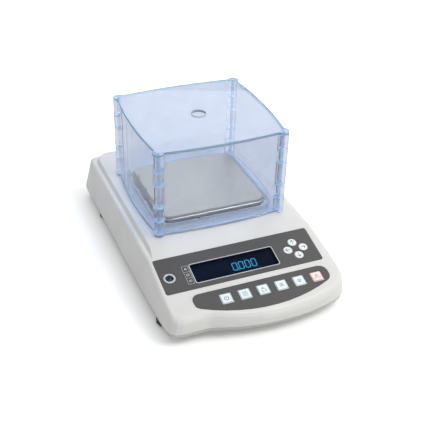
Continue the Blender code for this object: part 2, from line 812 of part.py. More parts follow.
def make_lower_housing():
    """The moulded tray with its lip, posts, ribs and foot bosses."""
    cream = material("lower_housing_plastic", (0.66, 0.66, 0.62), 0.5)
    tray = add_object("lower_housing", tray_form(0, 0, 0), cream)
    lip_outer = plan_outline(WALL + GAP)
    lip_inner = plan_outline(WALL + GAP + LIP_THICKNESS)
    top = SEAM + LIP_HEIGHT
    low = SEAM - LIP_DEPTH
    lip = [lifted(lip_outer, low), lifted(lip_outer, SEAM), drafted(lip_outer, top),
           drafted(lip_inner, top), lifted(lip_inner, SEAM), lifted(lip_inner, low)]
    cavity = boolean(tray, "DIFFERENCE", tray_form(TRAY_WALL, TRAY_FLOOR, SEAM + OVERRUN), "tray_cavity")
    boolean(cavity, "DIFFERENCE", tray_posts(), "tray_posts_keep")
    boolean(cavity, "DIFFERENCE", tray_pins(), "tray_pins_keep")
    boolean(cavity, "DIFFERENCE", rib_slabs(), "tray_ribs_keep")
    boolean(tray, "UNION", loft(lip, closed=True), "lip_add")
    head = SCREW_HEAD_RADIUS + GAP
    head_top = SEAM - OVERRUN + GAP
    cuts = [prism(circle(SCREW_RADIUS + GAP, SMALL_SIDES, place), BOTTOM - OVERRUN, SEAM + OVERRUN)
            for place in housing_screw_places()]
    boolean(tray, "DIFFERENCE", merged(cuts), "tray_screw_cut")
    boolean(tray, "DIFFERENCE",
            pillars(housing_screw_places(), head, BOTTOM - OVERRUN, head_top), "tray_head_cut")
    studs = [(x, y) for _, x, y in foot_places()]
    boolean(tray, "DIFFERENCE",
            pillars(studs, STUD_RADIUS + GAP, BOTTOM - OVERRUN, SEAM + OVERRUN, 2 * FOOT_TEETH),
            "tray_stud_cut")
    return tray


def screw(radius, head_radius, head_height, head_top, tip):
    """A pan-head screw that stands on its head, about the Z axis."""
    low = head_top - head_height
    profile = [(head_radius * 0.8, low), (head_radius, low + head_height / 3), (head_radius, head_top),
               (radius, head_top), (radius, tip)]
    return turned(profile, SMALL_SIDES)


def make_housing_screws():
    """The screws that close the housing from below."""
    steel = material("housing_screw_steel", (0.55, 0.56, 0.57), 0.35, 1)
    for i, (x, y) in enumerate(housing_screw_places()):
        shape = screw(SCREW_RADIUS, SCREW_HEAD_RADIUS, SCREW_HEAD_HEIGHT, SEAM - OVERRUN,
                      SEAM + SCREW_BITE)
        add_object("housing_screw_%d" % (i + 1), shape, steel, (x, y, 0))


def make_feet():
    """Four levelling feet, each a knurled disc with its stud, and a rubber pad."""
    black = material("foot_plastic", (0.03, 0.03, 0.03), 0.6)
    rubber = material("pad_rubber", (0.05, 0.05, 0.05), 0.85)
    disc_low = PAD_HEIGHT + GAP
    disc_top = BOTTOM - GAP
    teeth = [FOOT_RADIUS - FOOT_GROOVE * (i % 2) for i in range(2 * FOOT_TEETH)]
    step = math.tau / len(teeth)

    def knurl(shrink, height):
        return [((r - shrink) * math.cos(i * step), (r - shrink) * math.sin(i * step), height)
                for i, r in enumerate(teeth)]

    stud = circle(STUD_RADIUS, len(teeth))
    rings = [knurl(FOOT_CHAMFER, disc_low), knurl(0, disc_low + FOOT_CHAMFER),
             knurl(0, disc_top - FOOT_CHAMFER), knurl(FOOT_CHAMFER, disc_top),
             lifted(stud, disc_top), lifted(stud, disc_top + STUD_LENGTH)]
    for name, x, y in foot_places():
        add_object("foot_" + name, loft(rings), black, (x, y, 0))
        pad = turned([(PAD_RADIUS - FOOT_CHAMFER, 0), (PAD_RADIUS, FOOT_CHAMFER),
                      (PAD_RADIUS, PAD_HEIGHT)], ROUND_SIDES)
        add_object("foot_pad_" + name, pad, rubber, (x, y, 0))


# Panel pieces

def make_overlays(frame):
    """The two dark films on the panel."""
    grey = material("overlay_film", (0.09, 0.09, 0.09), 0.4)
    low = FILM_PROUD - FILM
    display = add_object("display_overlay", prism(display_outline(), low, FILM_PROUD), grey, parent=frame)
    deep = low - OVERRUN
    holes = [prism(window_outline(), deep, OVERRUN)]
    holes += [prism(circle(ARROW_RADIUS + GAP, ROUND_SIDES, (x, y)), deep, OVERRUN)
              for _, x, y in arrow_places()]
    level = (LEVEL_X, -DISPLAY_TOP - LEVEL_DROP)
    holes.append(prism(circle(LEVEL_RADIUS + GAP, ROUND_SIDES, level), deep, OVERRUN))
    boolean(display, "DIFFERENCE", merged(holes), "display_overlay_cut", frame)
    keypad = add_object("keypad_overlay", prism(keypad_outline(), low, FILM_PROUD), grey, parent=frame)
    holes = [prism(square_key_outline(place, GAP), deep, OVERRUN) for place in key_places()]
    boolean(keypad, "DIFFERENCE", merged(holes), "keypad_overlay_cut", frame)


def film_underside():
    """Height of the films' lower face in the panel frame, with its gap."""
    return FILM_PROUD - FILM - GAP


def make_display(frame):
    """Window pane, display module and the board behind them."""
    clear = material("window_pane", (0.05, 0.07, 0.15), 0.1)
    dark = material("display_module_body", (0.04, 0.06, 0.12), 0.4)
    green = material("display_board_laminate", (0.05, 0.25, 0.12), 0.5)
    top = film_underside()
    pane = prism(window_outline(PANE_MARGIN), top - PANE, top)
    add_object("display_window", pane, clear, parent=frame)
    module_top = top - PANE - GAP
    outer = window_outline(PANE_MARGIN + MODULE_MARGIN)
    inner = window_outline(PANE_MARGIN + MODULE_MARGIN - MODULE_TOP_CHAMFER)
    module = loft([lifted(outer, -BOARD_FACE + GAP), lifted(outer, module_top - MODULE_TOP_CHAMFER),
                   lifted(inner, module_top)])
    add_object("display_module", module, dark, parent=frame)
    low = -DISPLAY_TOP - DISPLAY_HEIGHT - DISPLAY_BOARD_MARGIN
    high = -DISPLAY_TOP + DISPLAY_BOARD_MARGIN
    board = box((DISPLAY_BOARD_LEFT, low, -BOARD_FACE - BOARD),
                (DISPLAY_BOARD_RIGHT, high, -BOARD_FACE))
    board = add_object("display_board", board, green, parent=frame)
    boolean(board, "DIFFERENCE",
            pillars(display_board_holes(), BOARD_PIN_RADIUS + GAP, -BOARD_FACE - BOARD - OVERRUN,
                    OVERRUN - BOARD_FACE), "display_board_cut", frame)
    add_switches(board, [(x, y) for _, x, y in arrow_places()], frame)


def add_switches(board, places, frame):
    """Switch bodies on a board; the bore in each guides the stem of the key above it."""
    side = SWITCH_HALF
    bore = KEY_STEM_RADIUS + GAP
    bodies = [box((x - side, y - side, -BOARD_FACE - BOARD / 2),
                  (x + side, y + side, SWITCH_HEIGHT - BOARD_FACE)) for x, y in places]
    boolean(board, "UNION", merged(bodies), board.name + "_switch_add", frame)
    boolean(board, "DIFFERENCE",
            pillars(places, bore, GAP - BOARD_FACE, OVERRUN + SWITCH_HEIGHT - BOARD_FACE),
            board.name + "_switch_cut", frame)


def make_keypad_board(frame):
    """The board behind the square keys."""
    green = material("keypad_board_laminate", (0.05, 0.25, 0.12), 0.5)
    left = KEY_FIRST - KEYPAD_BOARD_MARGIN
    right = KEY_FIRST + KEY_PITCH * (KEY_COUNT - 1) + KEYPAD_BOARD_MARGIN
    board = box((left, -KEY_DROP - KEYPAD_BOARD_HALF, -BOARD_FACE - BOARD),
                (right, -KEY_DROP + KEYPAD_BOARD_HALF, -BOARD_FACE))
    board = add_object("keypad_board", board, green, parent=frame)
    boolean(board, "DIFFERENCE",
            pillars(keypad_board_holes(), BOARD_PIN_RADIUS + GAP, -BOARD_FACE - BOARD - OVERRUN,
                    OVERRUN - BOARD_FACE), "keypad_board_cut", frame)
    add_switches(board, key_places(), frame)


def make_level(frame):
    """The round bubble level: a cup through the panel and a vial that lies level in it."""
    silver = material("level_cup_metal", (0.6, 0.62, 0.65), 0.3, 1)
    glass = material("level_vial_glass", (0.25, 0.30, 0.20), 0.1, 0, 0.6)
    place = (LEVEL_X, -DISPLAY_TOP - LEVEL_DROP, 0)
    lip_low = film_underside()
    body = LEVEL_RADIUS - LEVEL_LIP
    inner = body - LEVEL_WALL
    profile = [(body, -LEVEL_DEPTH), (body, lip_low), (LEVEL_RADIUS, lip_low),
               (LEVEL_RADIUS, LEVEL_LIP_PROUD), (inner, LEVEL_LIP_PROUD),
               (inner, LEVEL_WALL - LEVEL_DEPTH)]
    add_object("level_cup", turned(profile, ROUND_SIDES), silver, place, frame)
    reach = VIAL_RADIUS * math.sin(PANEL_SLOPE) + VIAL_HEIGHT / 2 * math.cos(PANEL_SLOPE)
    centre = LEVEL_WALL - LEVEL_DEPTH + GAP + reach
    half = VIAL_HEIGHT / 2
    vial = turned([(VIAL_RADIUS, -half), (VIAL_RADIUS, half - VIAL_DOME),
                   (VIAL_RADIUS - VIAL_DOME, half - VIAL_DOME / 3),
                   (VIAL_RADIUS / 3, half)], ROUND_SIDES)
    vial = turned_about(vial, "X", -PANEL_SLOPE)
    add_object("level_vial", vial, glass, (place[0], place[1], centre), frame)


def key_shape(outline, sides):
    """A key: cap with a soft edge, flange under the film and a stem, about the Z axis."""
    low = film_underside()
    bottom = low - KEY_FLANGE
    stem = circle(KEY_STEM_RADIUS, sides)
    start = min(range(sides), key=lambda i: (Vector(stem[i]) - Vector(outline(0)[0])).length)
    stem = stem[start:] + stem[:start]
    rings = [lifted(stem, bottom - KEY_STEM_LENGTH), lifted(stem, bottom),
             lifted(outline(KEY_FLANGE_WIDTH), bottom), lifted(outline(KEY_FLANGE_WIDTH), low),
             lifted(outline(0), low), lifted(outline(0), KEY_PROUD - KEY_EDGE),
             lifted(outline(-KEY_EDGE), KEY_PROUD)]
    return loft(rings)


def make_keys(frame):
    """Six square keys and four round ones."""
    pale = material("key_plastic", (0.80, 0.92, 0.95), 0.35)
    pink = material("key_plastic_pink", (0.95, 0.75, 0.72), 0.35)
    for i, (x, y) in enumerate(key_places()):
        finish = pink if i == KEY_COUNT - 1 else pale
        shape = key_shape(lambda grow: square_key_outline((0, 0), grow), len(square_key_outline((0, 0))))
        add_object("key_%d" % (i + 1), shape, finish, (x, y, 0), frame)
    for name, x, y in arrow_places():
        shape = key_shape(lambda grow: circle(ARROW_RADIUS + grow, ROUND_SIDES), ROUND_SIDES)
        add_object("arrow_key_" + name, shape, pale, (x, y, 0), frame)


# Weighing plate and cell

def plate_ring(inset, height):
    """The plate's outline drawn in and set at a height."""
    outline = rounded_rectangle(PLATE_HALF_WIDTH - inset, PLATE_HALF_DEPTH - inset,
                                PLATE_CORNER - inset, (0, PLATE_Y))
    return lifted(outline, height)


def make_plate():
    """The pressed steel plate with its stepped, turned-down rim."""
    steel = material("plate_steel", (0.62, 0.63, 0.62), 0.35, 1)
    step_z = PLATE_TOP - PLATE_STEP_HEIGHT
    rim_z = PLATE_TOP - PLATE_RIM
    under = PLATE_TOP - PLATE_SHEET
    inner = PLATE_STEP + PLATE_SHEET
    rings = [plate_ring(inner, under), plate_ring(inner, step_z - PLATE_SHEET),
             plate_ring(PLATE_SHEET, step_z - PLATE_SHEET - PLATE_STEP), plate_ring(PLATE_SHEET, rim_z),
             plate_ring(0, rim_z), plate_ring(0, step_z - PLATE_STEP), plate_ring(PLATE_STEP, step_z),
             plate_ring(PLATE_STEP, PLATE_TOP - PLATE_EDGE_ROUND),
             plate_ring(PLATE_STEP + PLATE_EDGE_ROUND / 3, PLATE_TOP - PLATE_EDGE_ROUND / 3),
             plate_ring(PLATE_STEP + PLATE_EDGE_ROUND, PLATE_TOP)]
    add_object("weighing_plate", loft(rings), steel)


def buffer_places():
    """Centres of the four buffers at the ends of the carrier's arms."""
    x, y = CARRIER_REACH
    return [(sx * x, PLATE_Y + sy * y) for sx, sy in ((1, 1), (-1, 1), (-1, -1), (1, -1))]


def carrier_top():
    """Upper face of the carrier's arms."""
    return PLATE_TOP - PLATE_SHEET - GAP - BUFFER_HEIGHT


def star_outline():
    """The carrier's four arms, from the hub out to round ends."""
    half = CARRIER_ARM / 2
    angles = [math.atan2(y - PLATE_Y, x) % math.tau for x, y in buffer_places()]
    points = []
    for i, (x, y) in enumerate(buffer_places()):
        angle = angles[i]
        points += arc((x, y), half, angle - math.pi / 2, angle + math.pi / 2, CORNER_STEPS + 2)
        following = angles[(i + 1) % len(angles)]
        opening = (following - angle) % math.tau / 2
        reach = half / math.sin(opening)
        points.append((reach * math.cos(angle + opening), PLATE_Y + reach * math.sin(angle + opening)))
    return points


def make_carrier():
    """The cast cross under the plate, its rubber buffers and the post that carries it."""
    black = material("carrier_casting", (0.06, 0.06, 0.065), 0.5)
    rubber = material("buffer_rubber", (0.04, 0.04, 0.04), 0.85)
    steel = material("post_steel", (0.55, 0.56, 0.58), 0.35, 1)
    top = carrier_top()
    low = top - CARRIER_THICKNESS
    carrier = add_object("pan_carrier", prism(star_outline(), low, top), black)
    hub = prism(circle(CARRIER_HUB_RADIUS, ROUND_SIDES, (0, PLATE_Y)), low - CARRIER_HUB_EXTRA,
                top + CARRIER_HUB_EXTRA)
    boolean(carrier, "UNION", hub, "hub_add")
    seat = prism(circle(POST_TOP_RADIUS + GAP, ROUND_SIDES, (0, PLATE_Y)), low - OVERRUN, low + GAP)
    boolean(carrier, "DIFFERENCE", seat, "post_seat_cut")
    for i, (x, y) in enumerate(buffer_places()):
        pad = prism(circle(BUFFER_RADIUS, SMALL_SIDES), top + GAP, top + BUFFER_HEIGHT)
        add_object("pan_buffer_%d" % (i + 1), pad, rubber, (x, y, 0))
    foot = adapter_top() + GAP
    post = turned([(POST_STUD_RADIUS, cell_top() - POST_STUD_BITE), (POST_STUD_RADIUS, foot),
                   (POST_FOOT_RADIUS, foot), (POST_FOOT_RADIUS, foot + POST_STEP),
                   (POST_TOP_RADIUS, low - POST_STEP), (POST_TOP_RADIUS, low)], ROUND_SIDES)
    add_object("pan_post", moved(post, 0, PLATE_Y), steel)


def cell_top():
    """Upper face of the load cell."""
    return adapter_top() - ADAPTER_HEIGHT - GAP


def adapter_top():
    """Upper face of the plate between cell and post, clear of the deck's underside."""
    return SEAM + CELL_HEIGHT + ADAPTER_HEIGHT + GAP


def cell_front():
    """Front face of the load cell, ahead of the post."""
    return PLATE_Y - CELL_FRONT_OVERHANG


def cell_screw_places():
    """The two screws that clamp the cell's fixed end on its mount."""
    fixed = cell_front() + CELL_LENGTH - CELL_CLAMP_LENGTH / 2
    return [(0, fixed - CELL_SCREW_SPREAD / 2), (0, fixed + CELL_SCREW_SPREAD / 2)]


def make_cell():
    """The milled force cell with its flexures, its mount, adapter, screws and stop."""
    alloy = material("cell_alloy", (0.70, 0.71, 0.72), 0.35, 1)
    cast = material("mount_casting", (0.45, 0.46, 0.47), 0.5, 1)
    steel = material("cell_screw_steel", (0.25, 0.25, 0.26), 0.4, 1)
    half = CELL_WIDTH / 2
    front = cell_front()
    rear = front + CELL_LENGTH
    low = cell_top() - CELL_HEIGHT
    cell = add_object("load_cell", box((-half, front, low), (half, rear, cell_top())), alloy)
    middle = (front + rear) / 2
    centre = low + CELL_HEIGHT / 2
    bores = []
    for side in (-1, 1):
        bore = circle(CELL_HOLE_RADIUS, ROUND_SIDES, (middle + side * CELL_HOLE_SPREAD / 2, centre))
        bores.append(bore)
    flexures = [loft([[(x, y, z) for y, z in bore] for x in (-half - OVERRUN, half + OVERRUN)])
                for bore in bores]
    boolean(cell, "DIFFERENCE", merged(flexures), "flexure_cut")
    slot = box((-half - OVERRUN - OVERRUN, middle - CELL_HOLE_SPREAD / 2, centre - CELL_SLOT / 2),
               (half + OVERRUN + OVERRUN, middle + CELL_HOLE_SPREAD / 2, centre + CELL_SLOT / 2))
    boolean(cell, "DIFFERENCE", slot, "slot_cut")
    shank = CELL_SCREW_RADIUS + GAP
    boolean(cell, "DIFFERENCE", pillars(cell_screw_places(), shank, low - OVERRUN, cell_top() + OVERRUN),
            "cell_screw_cut")
    stud_place = [(0, PLATE_Y)]
    stud = POST_STUD_RADIUS + GAP
    boolean(cell, "DIFFERENCE",
            pillars(stud_place, stud, cell_top() - POST_STUD_BITE - GAP, cell_top() + OVERRUN, ROUND_SIDES),
            "post_stud_cut")
    mount_half = half + MOUNT_MARGIN
    mount_low = floor_top() + GAP
    mount = add_object("cell_mount",
                       box((-mount_half, rear - CELL_CLAMP_LENGTH, mount_low),
                           (mount_half, rear + MOUNT_MARGIN, low - GAP)), cast)
    edge = mount.modifiers.new("edge", "BEVEL")
    edge.width = MOUNT_EDGE
    edge.segments = 1
    boolean(mount, "DIFFERENCE",
            pillars(cell_screw_places(), shank, low - CELL_SCREW_BITE - GAP, low + OVERRUN),
            "mount_screw_cut")
    length = ADAPTER_LENGTH / 2
    adapter = add_object("cell_adapter",
                         box((-half, PLATE_Y - length, cell_top() + GAP),
                             (half, PLATE_Y + length, adapter_top())), cast)
    boolean(adapter, "DIFFERENCE",
            pillars(stud_place, stud, cell_top() - OVERRUN, adapter_top() + OVERRUN, ROUND_SIDES),
            "adapter_cut")
    under = cell_top() + GAP
    head = [(CELL_SCREW_RADIUS, low - CELL_SCREW_BITE), (CELL_SCREW_RADIUS, under),
            (CELL_SCREW_HEAD, under), (CELL_SCREW_HEAD, under + CELL_SCREW_HEAD_HEIGHT)]
    for name, (x, y) in zip(("front", "rear"), cell_screw_places()):
        add_object("cell_screw_" + name, turned(head, SMALL_SIDES), steel, (x, y, 0))
    stop = [(STOP_BASE_RADIUS, mount_low), (STOP_BASE_RADIUS, mount_low + STOP_BASE_HEIGHT),
            (STOP_RADIUS, mount_low + STOP_BASE_HEIGHT), (STOP_RADIUS, low - STOP_PLAY)]
    add_object("overload_stop", turned(stop, SMALL_SIDES), steel, (0, PLATE_Y, 0))


# Draft shield

def bowed_rectangle(half_x, half_y, corner, bow_x, bow_y, height):
    """A rectangle about the plate's centre with round corners and sides that bulge."""
    quarter = math.pi / 2
    points = []
    corners = ((1, 1), (-1, 1), (-1, -1), (1, -1))
    for turn, (sx, sy) in enumerate(corners):
        centre = (sx * (half_x - corner), sy * (half_y - corner))
        points += arc(centre, corner, quarter * turn, quarter * (turn + 1), CORNER_STEPS)
        nx, ny = corners[(turn + 1) % 4]
        for i in range(1, BOW_STEPS):
            share = 2 * i / BOW_STEPS - 1
            bulge = 1 - share * share
            if sx != nx:
                points.append((-sx * share * (half_x - corner), sy * (half_y + bow_y * bulge)))
            else:
                points.append((sx * (half_x + bow_x * bulge), -sy * share * (half_y - corner)))
    return [(x, PLATE_Y + y, height) for x, y in points]


def shield_posts():
    """Centres of the four shield corners."""
    return [(sx * POST_X, PLATE_Y + sy * POST_Y) for sx, sy in ((1, 1), (-1, 1), (-1, -1), (1, -1))]


def shield_base():
    """Upper face of the ledge that the panels stand on."""
    return DECK + GAP + FRAME_LEDGE


def make_base_frame():
    """The ring on the deck: ledge, upright rim round the opening and a foot at each corner."""
    clear = material("base_frame_clear", (0.72, 0.80, 0.90), 0.1, 0, 0.9)
    open_x = PLATE_HALF_WIDTH + FRAME_PLAY
    open_y = PLATE_HALF_DEPTH + FRAME_PLAY
    low = DECK + GAP
    ledge = shield_base()
    rim = ledge + FRAME_RIM_HEIGHT
    inner = FRAME_INNER_CORNER
    outer = KNUCKLE_RADIUS
    wide = (SIDE_FACE + FRAME_MARGIN, FRONT_FACE + FRAME_MARGIN, outer, SIDE_BOW, FRONT_BOW)
    thick = FRAME_RIM
    rings = [bowed_rectangle(open_x, open_y, inner, 0, 0, low),
             bowed_rectangle(open_x, open_y, inner, 0, 0, rim),
             bowed_rectangle(open_x + thick, open_y + thick, inner, 0, 0, rim),
             bowed_rectangle(open_x + thick, open_y + thick, inner, 0, 0, ledge),
             bowed_rectangle(*wide, ledge), bowed_rectangle(*wide, low)]
    ring = add_object("shield_base_frame", loft(rings, closed=True), clear)
    boolean(ring, "UNION",
            pillars(shield_posts(), KNUCKLE_RADIUS, low + FRAME_SEAT, ledge + FRAME_SEAT, ROUND_SIDES),
            "corner_feet_add")
    notch = []
    for x in (-CLIP_X, CLIP_X):
        for side in (-1, 1):
            y = PLATE_Y + side * open_y
            notch.append(box((x - CLIP_WIDTH / 2, y - OVERRUN, rim - CLIP_DEPTH),
                             (x + CLIP_WIDTH / 2, y + OVERRUN, rim + OVERRUN)))
    boolean(ring, "DIFFERENCE", merged(notch), "clip_notch_cut")


def knuckle_levels():
    """Heights between the knuckles of a corner, from the base up to the lid."""
    low = shield_base() + FRAME_SEAT + GAP
    high = LID_TOP - LID - GAP
    return [low + (high - low) * share for share in KNUCKLE_LEVEL_SHARES]


def panel_sheet(own, reach, face, bow, spread):
    """A bulged sheet between two posts, with webs to the knuckles that are its own.

    It runs along X at a distance face ahead of the shield's middle, in the local frame.
    """
    levels = knuckle_levels()
    web = PANEL_WALL / 4
    heights = [shield_base() + GAP]
    for i in own:
        heights += [levels[i] + web, levels[i + 1] - web]
    heights = sorted(set(heights + [levels[-1]]))
    clear = reach - KNUCKLE_RADIUS - GAP
    columns = [-reach] + [clear * (2 * i / BOW_STEPS - 1) for i in range(BOW_STEPS + 1)] + [reach]
    bm = bmesh.new()

    def depth(x):
        return -(face + bow * (1 - (x / spread) ** 2))

    grid = {}

    def corner(i, k):
        if (i, k) not in grid:
            grid[i, k] = bm.verts.new((columns[i], depth(columns[i]), heights[k]))
        return grid[i, k]

    spans = [(levels[i] + web, levels[i + 1] - web) for i in own]
    for k in range(len(heights) - 1):
        for i in range(len(columns) - 1):
            is_web = i in (0, len(columns) - 2)
            if is_web and (heights[k], heights[k + 1]) not in spans:
                continue
            bm.faces.new((corner(i, k), corner(i + 1, k), corner(i + 1, k + 1), corner(i, k + 1)))
    grown = bmesh.ops.extrude_face_region(bm, geom=bm.faces[:])
    back = [item for item in grown["geom"] if isinstance(item, bmesh.types.BMVert)]
    bmesh.ops.translate(bm, verts=back, vec=(0, PANEL_WALL, 0))
    bmesh.ops.recalc_face_normals(bm, faces=bm.faces)
    return bm


def make_panel(name, finish, turn, own, reach, across, face, bow):
    """One shield panel, built facing -Y and turned to its side about the plate's centre."""
    levels = knuckle_levels()
    sheet = panel_sheet(own, reach, face, bow, reach)
    centre = (0, PLATE_Y, 0)
    sheet = turned_about(moved(sheet, 0, PLATE_Y), "Z", turn, centre)
    panel = add_object(name, sheet, finish)
    tubes = []
    for i in own:
        for x in (-reach, reach):
            low = levels[i] + GAP / 2
            high = levels[i + 1] - GAP / 2
            tube = prism(circle(KNUCKLE_RADIUS, ROUND_SIDES, (x, PLATE_Y - across)), low, high)
            tubes.append(turned_about(tube, "Z", turn, centre))
    boolean(panel, "UNION", merged(tubes), name + "_knuckles_add")
    bores = pillars(shield_posts(), PIN_RADIUS + GAP, shield_base() - OVERRUN, LID_TOP)
    boolean(panel, "DIFFERENCE", bores, name + "_bore_cut")
    return panel


def make_shield_panels():
    """Four clear panels, with knuckles that interleave at the corners, and their pins."""
    clear = material("shield_panel_clear", (0.78, 0.85, 0.94), 0.05, 0, 0.95)
    pin_finish = material("corner_pin_clear", (0.60, 0.72, 0.85), 0.15, 0, 0.8)
    side_own = (0, 2, 4)
    front_own = (1, 3)
    half = math.pi / 2
    make_panel("shield_panel_front", clear, 0, front_own, POST_X, POST_Y, FRONT_FACE, FRONT_BOW)
    make_panel("shield_panel_right", clear, half, side_own, POST_Y, POST_X, SIDE_FACE, SIDE_BOW)
    make_panel("shield_panel_back", clear, math.pi, front_own, POST_X, POST_Y, FRONT_FACE, FRONT_BOW)
    make_panel("shield_panel_left", clear, -half, side_own, POST_Y, POST_X, SIDE_FACE, SIDE_BOW)
    levels = knuckle_levels()
    names = ("rear_right", "rear_left", "front_left", "front_right")
    for name, place in zip(names, shield_posts()):
        pin = prism(circle(PIN_RADIUS, SMALL_SIDES), levels[0], levels[-1] - PEG_LENGTH - GAP)
        add_object("corner_pin_" + name, pin, pin_finish, (*place, 0))


def make_lid():
    """The flat lid with a finger hole and four pegs that drop into the corner bores."""
    clear = material("lid_clear", (0.78, 0.85, 0.94), 0.05, 0, 0.95)
    low = LID_TOP - LID
    outline = (SIDE_FACE, FRONT_FACE, KNUCKLE_RADIUS / 2, SIDE_BOW, FRONT_BOW)
    plate = loft([bowed_rectangle(*outline, low), bowed_rectangle(*outline, LID_TOP)])
    lid = add_object("shield_lid", plate, clear)
    boolean(lid, "UNION",
            pillars(shield_posts(), KNUCKLE_RADIUS, low + LID_RELIEF, LID_TOP - LID_RELIEF, ROUND_SIDES),
            "lid_corners_add")
    boolean(lid, "UNION",
            pillars(shield_posts(), PIN_RADIUS, low - PEG_LENGTH, LID_TOP - LID / 2), "lid_pegs_add")
    boolean(lid, "DIFFERENCE",
            prism(circle(LID_HOLE_RADIUS, ROUND_SIDES, (0, PLATE_Y)), low - OVERRUN, LID_TOP + OVERRUN),
            "finger_hole_cut")


# Electronics

def make_main_board():
    """The main board on its standoffs, with its large parts."""
    green = material("main_board_laminate", (0.05, 0.25, 0.12), 0.5)
    right = MAIN_BOARD_LEFT + MAIN_BOARD_WIDTH
    rear = MAIN_BOARD_FRONT + MAIN_BOARD_LENGTH
    top = MAIN_BOARD_HEIGHT + BOARD
    board = add_object("main_board", box((MAIN_BOARD_LEFT, MAIN_BOARD_FRONT, MAIN_BOARD_HEIGHT),
                                         (right, rear, top)), green)
    boolean(board, "DIFFERENCE",
            pillars(main_board_holes(), BOARD_PIN_RADIUS + GAP, MAIN_BOARD_HEIGHT - OVERRUN,
                    top + OVERRUN), "main_board_cut")
    chips = []
    for share_x, share_y in CHIP_PLACE_SHARES:
        x = MAIN_BOARD_LEFT + MAIN_BOARD_WIDTH * share_x
        y = MAIN_BOARD_FRONT + MAIN_BOARD_LENGTH * share_y
        chips.append(box((x - CHIP_HALF, y - CHIP_HALF, top - BOARD / 2),
                         (x + CHIP_HALF, y + CHIP_HALF, top + CHIP_HEIGHT)))
    boolean(board, "UNION", merged(chips), "chips_add")


def make_rear_sockets():
    """The connector board with the power socket and the serial socket at the rear wall."""
    green = material("io_board_laminate", (0.05, 0.25, 0.12), 0.5)
    black = material("socket_plastic", (0.04, 0.04, 0.04), 0.45)
    shell = material("serial_shell_metal", (0.55, 0.56, 0.58), 0.3, 1)
    rear = io_board_rear()
    front = rear - IO_BOARD_LENGTH
    top = IO_BOARD_HEIGHT + BOARD
    board = add_object("io_board", box((IO_BOARD_LEFT, front, IO_BOARD_HEIGHT),
                                       (IO_BOARD_LEFT + IO_BOARD_WIDTH, rear, top)), green)
    boolean(board, "DIFFERENCE",
            pillars(io_board_holes(), BOARD_PIN_RADIUS + GAP, IO_BOARD_HEIGHT - OVERRUN,
                    top + OVERRUN), "io_board_cut")
    face = BACK - (BACK - SHOULDER_BACK) * (io_centre_height() - SEAM) / (SHOULDER - SEAM) + REAR_PROUD
    high = io_centre_height()
    jack = rounded_rectangle(JACK_HALF, JACK_HALF, KEY_CORNER, (0, 0), 2)
    jack = add_object("power_socket", upright(jack, JACK_X, high, face - JACK_LENGTH, face), black)
    bore = circle(JACK_BORE, SMALL_SIDES)
    pin = circle(JACK_PIN, SMALL_SIDES)
    deep = face - JACK_BORE_DEPTH
    rings = [[(JACK_X + x, y, high + z) for x, z in outline]
             for outline, y in ((bore, deep), (bore, face + OVERRUN), (pin, face + OVERRUN), (pin, deep))]
    boolean(jack, "DIFFERENCE", loft(rings, closed=True), "jack_bore_cut")
    inner = face - WALL - OVERRUN
    body = rounded_rectangle(SERIAL_BODY_HALF_WIDTH, SERIAL_BODY_HALF_HEIGHT, KEY_CORNER, (0, 0), 2)
    serial = add_object("serial_socket",
                        upright(body, SERIAL_X, high, inner - SERIAL_BODY_LENGTH, inner), shell)
    boolean(serial, "UNION", upright(serial_outline(), SERIAL_X, high, inner - SERIAL_WALL, face),
            "shell_add")
    boolean(serial, "DIFFERENCE",
            upright(serial_outline(-SERIAL_WALL), SERIAL_X, high, face - SERIAL_DEPTH, face + OVERRUN),
            "shell_cut")


def build():
    """Clear the scene and make every piece."""
    for obj in list(bpy.data.objects):
        bpy.data.objects.remove(obj)
    frame = panel_frame()
    make_upper_housing(frame)
    make_lower_housing()
    make_housing_screws()
    make_feet()
    make_overlays(frame)
    make_display(frame)
    make_keypad_board(frame)
    make_level(frame)
    make_keys(frame)
    make_plate()
    make_carrier()
    make_cell()
    make_base_frame()
    make_shield_panels()
    make_lid()
    make_main_board()
    make_rear_sockets()


build()
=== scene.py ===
"""Looks of the precision balance: printed and lit details, materials, camera, floor and light.

Every length is in metres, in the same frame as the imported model: +Z up, front towards -Y.
"""
import json
import math

import bmesh
import bpy
from mathutils import Matrix, Vector


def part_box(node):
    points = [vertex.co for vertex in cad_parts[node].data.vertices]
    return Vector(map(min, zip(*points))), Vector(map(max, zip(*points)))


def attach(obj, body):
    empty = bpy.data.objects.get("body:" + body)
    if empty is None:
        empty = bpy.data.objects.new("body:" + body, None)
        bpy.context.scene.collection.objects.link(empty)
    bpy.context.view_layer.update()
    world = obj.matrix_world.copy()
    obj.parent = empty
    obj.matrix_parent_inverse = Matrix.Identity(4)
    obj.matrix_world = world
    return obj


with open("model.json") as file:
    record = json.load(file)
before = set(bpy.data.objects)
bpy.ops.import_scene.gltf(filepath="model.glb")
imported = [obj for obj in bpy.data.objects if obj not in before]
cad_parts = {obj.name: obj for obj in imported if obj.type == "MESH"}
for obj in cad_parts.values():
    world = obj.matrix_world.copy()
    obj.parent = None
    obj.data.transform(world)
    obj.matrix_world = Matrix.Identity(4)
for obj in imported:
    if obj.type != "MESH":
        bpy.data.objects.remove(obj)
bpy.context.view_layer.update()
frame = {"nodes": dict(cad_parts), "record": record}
NODES = frame["nodes"]

# Camera of the photograph
IMAGE_SIZE = 428
SENSOR = 36.0
FOCAL_PIXELS = 834.75
CAMERA_AZIMUTH = math.radians(-23.239)
CAMERA_ELEVATION = math.radians(33.571)
CAMERA_ROLL = math.radians(1.664)
CAMERA_DISTANCE = 0.991845
CAMERA_RIGHT = 0.019794
CAMERA_DOWN = -0.026518
LOOK_AT = Vector((0.0, 0.0353, 0.056))

